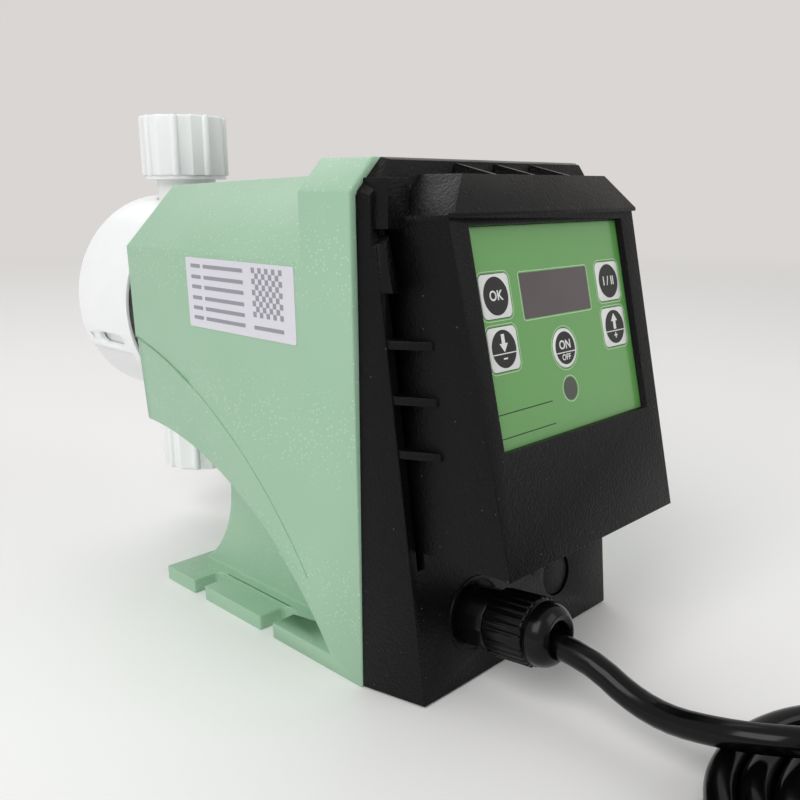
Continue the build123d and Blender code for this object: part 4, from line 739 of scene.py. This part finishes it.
def makeCrease(side):
    start, middle, end = crease["points"]
    cx, cz = circleThrough(start, middle, end)
    radius = ((start[0] - cx) ** 2 + (start[1] - cz) ** 2) ** 0.5
    first = atan2(start[1] - cz, start[0] - cx)
    sweep = atan2(end[1] - cz, end[0] - cx) - first
    centre = Vector((0, wall["joint"] + cx, cz)) * mm
    spot = centre + Vector((0, cos(first), sin(first))) * radius * mm
    bpy.ops.object.select_all(action="DESELECT")
    bpy.ops.mesh.primitive_circle_add(
        vertices=crease["roundSides"], radius=crease["radius"] * mm, location=spot
    )
    piece = bpy.context.object
    piece.rotation_euler = (pi / 2 + first, 0, 0)
    applyPlace(piece)
    bpy.ops.object.mode_set(mode="EDIT")
    bpy.ops.mesh.select_all(action="SELECT")
    bpy.ops.mesh.spin(steps=crease["steps"], angle=-sweep, center=centre, axis=(1, 0, 0))
    bpy.ops.mesh.select_all(action="SELECT")
    bpy.ops.mesh.remove_doubles(threshold=0.001 * mm)
    bpy.ops.mesh.fill_holes(sides=0)
    bpy.ops.mesh.select_all(action="SELECT")
    bpy.ops.mesh.normals_make_consistent(inside=False)
    bpy.ops.object.mode_set(mode="OBJECT")
    piece.rotation_euler = (0, radians(wall["lean"]) * side, 0)
    piece.location = (side * (wall["footHalfWidth"] - crease["sink"]) * mm, 0, 0)
    applyPlace(piece)
    bpy.ops.object.shade_smooth_by_angle(angle=radians(50))
    name = "creaseRight" if side > 0 else "creaseLeft"
    return finishPiece(piece, name, "housing_green", "pump")


for side in (-1, 1):
    makeCrease(side)
print("creases rounded")


keys = {
    "key_set": {"x": -28.7, "up": 77.4, "word": "OK"},
    "key_mode": {"x": 28.7, "up": 77.4, "word": "I / II"},
    "key_down": {"x": -28.7, "up": 62.7, "arrow": -1, "word": "−"},
    "key_up": {"x": 28.7, "up": 62.7, "arrow": 1, "word": "+"},
    "key_start_stop": {"x": 0, "up": 59.4, "word": "ON", "second": "OFF"},
}
legend = {
    "discRadius": 5.35,
    "roundDisc": 4.95,
    "ink": 0.05,  # thickness of the black disc
    "letters": 0.04,  # thickness of the white marks on it
    "gap": 0.01,
    "wordSize": 3.9,
    "bar": 0.3,  # width of the line across a disc
    "barRise": -1.3,
    "arrowLength": 5.2,
    "arrowRise": 1.7,
    "signSize": 3.6,
    "signRise": -2.9,
    "upperSize": 3.7,
    "upperRise": 0.9,
    "lowerSize": 2.5,
    "lowerRise": -2.85,
}


def makeLegend(nodeName, key):
    body = bodyOf[nodeName]
    top = panel["keyTop"]
    thickness = legend["letters"]
    radius = legend["roundDisc"] if "second" in key else legend["discRadius"]
    disc = roundPlate(radius, legend["ink"])
    place = panelFrame(key["x"], key["up"], top)
    placeGroup([disc], [place], nodeName + "Disc", "cover_black", body, inkBlack)
    marks = []  # each mark with its height on the key
    if "second" in key or "arrow" in key:
        bar = roundedPlate(2 * radius - legend["bar"], legend["bar"], 0, thickness)
        marks.append((bar, legend["barRise"]))
    if "arrow" in key:
        marks.append((arrowPlate(legend["arrowLength"], key["arrow"], thickness), legend["arrowRise"]))
        marks.append((wordPlate(key["word"], legend["signSize"], thickness), legend["signRise"]))
    elif "second" in key:
        marks.append((wordPlate(key["word"], legend["upperSize"], thickness), legend["upperRise"]))
        marks.append((wordPlate(key["second"], legend["lowerSize"], thickness), legend["lowerRise"]))
    else:
        marks.append((wordPlate(key["word"], legend["wordSize"], thickness), 0))
    lift = top + legend["ink"] + legend["gap"]
    places = [panelFrame(key["x"], key["up"] + rise, lift) for piece, rise in marks]
    placeGroup([piece for piece, rise in marks], places, nodeName + "Legend", "key_white", body, inkWhite)


for nodeName, key in keys.items():
    makeLegend(nodeName, key)
print("legends printed")


filmPrint = {
    "thickness": 0.03,
    "gap": 0.75,  # from a key's edge to the line round it
    "keyLine": 0.22,
    "keySize": (13.0, 12.4),
    "keyCorner": 2.6,
    "roundKey": 6.0,
    "frameLine": 0.3,
    "indicator": {"radius": 4.1, "up": 47.1},
    "display": {"size": (35.2, 14.3), "corner": 1.2, "up": 76.35},
    "rules": {"length": 26.5, "width": 0.28, "x": -23.2, "ups": (44.9, 38.2)},
}


def printFilm():
    thickness = filmPrint["thickness"]
    line = filmPrint["keyLine"]
    gap = filmPrint["gap"]
    lines = []
    for key in keys.values():
        if "second" in key:
            ring = roundPlate(filmPrint["roundKey"] + gap, thickness, line)
        else:
            width, height = filmPrint["keySize"]
            ring = roundedPlate(width + 2 * gap, height + 2 * gap, filmPrint["keyCorner"], thickness, line)
        lines.append((ring, key["x"], key["up"]))
    indicator = filmPrint["indicator"]
    lines.append((roundPlate(indicator["radius"], thickness, filmPrint["frameLine"]), 0, indicator["up"]))
    display = filmPrint["display"]
    frameRound = roundedPlate(*display["size"], display["corner"], thickness, filmPrint["frameLine"])
    lines.append((frameRound, 0, display["up"]))
    places = [panelFrame(x, up, panel["film"]) for piece, x, up in lines]
    placeGroup([piece for piece, x, up in lines], places, "filmLines", "key_white", "pump", inkPale)
    rule = filmPrint["rules"]
    rules = [roundedPlate(rule["length"], rule["width"], 0, thickness) for up in rule["ups"]]
    places = [panelFrame(rule["x"], up, panel["film"]) for up in rule["ups"]]
    placeGroup(rules, places, "filmRules", "cover_black", "pump", inkBlack)


printFilm()
print("panel film printed")


fields = {
    "rows": [8.9, 5.3, 2.0, -1.6, -5.0, -8.3],
    "bar": 1.25,
    "corner": 0.3,
    "headings": (-23.0, 5.6),  # middle and length of each short bar
    "values": (-7.6, 22.0),
    "caption": (15.6, 15.0),  # below the check pattern, on the last row
    "grid": {"middle": (15.6, 2.6), "cell": 1.7, "across": 9, "down": 9},
    "thickness": 0.04,
    "lift": 0.25,
}


def printLabel():
    spots = [(*field, row) for row in fields["rows"] for field in (fields["headings"], fields["values"])]
    spots.append((*fields["caption"], fields["rows"][-1]))
    bars = []
    for middle, length, row in spots:
        bars.append(roundedPlate(length, fields["bar"], fields["corner"], fields["thickness"]))
    places = [labelFrame(middle, row, fields["lift"]) for middle, length, row in spots]
    placeGroup(bars, places, "labelBars", "label_pale", "pump", inkGrey)
    # plain check pattern in the square at the label's end
    grid = fields["grid"]
    bpy.ops.object.select_all(action="DESELECT")
    bpy.ops.mesh.primitive_grid_add(x_subdivisions=grid["across"], y_subdivisions=grid["down"], size=1)
    piece = bpy.context.object
    piece.scale = (grid["across"] * grid["cell"] * mm, grid["down"] * grid["cell"] * mm, 1)
    applyPlace(piece)
    bpy.ops.object.mode_set(mode="EDIT")
    bpy.ops.mesh.select_mode(type="FACE")
    mesh = bmesh.from_edit_mesh(piece.data)
    for face in mesh.faces:
        spot = face.calc_center_median() / (grid["cell"] * mm)
        face.select = (round(spot.x) + round(spot.y)) % 2 == 1
    bmesh.update_edit_mesh(piece.data)
    bpy.ops.mesh.delete(type="FACE")
    bpy.ops.mesh.select_all(action="SELECT")
    bpy.ops.mesh.edge_split(type="VERT")
    pullUp(fields["thickness"])
    bpy.ops.object.mode_set(mode="OBJECT")
    along, up = grid["middle"]
    placeGroup([piece], [labelFrame(along, up, fields["lift"])], "labelCheck", "label_pale", "pump", inkGrey)


printLabel()
print("label printed")
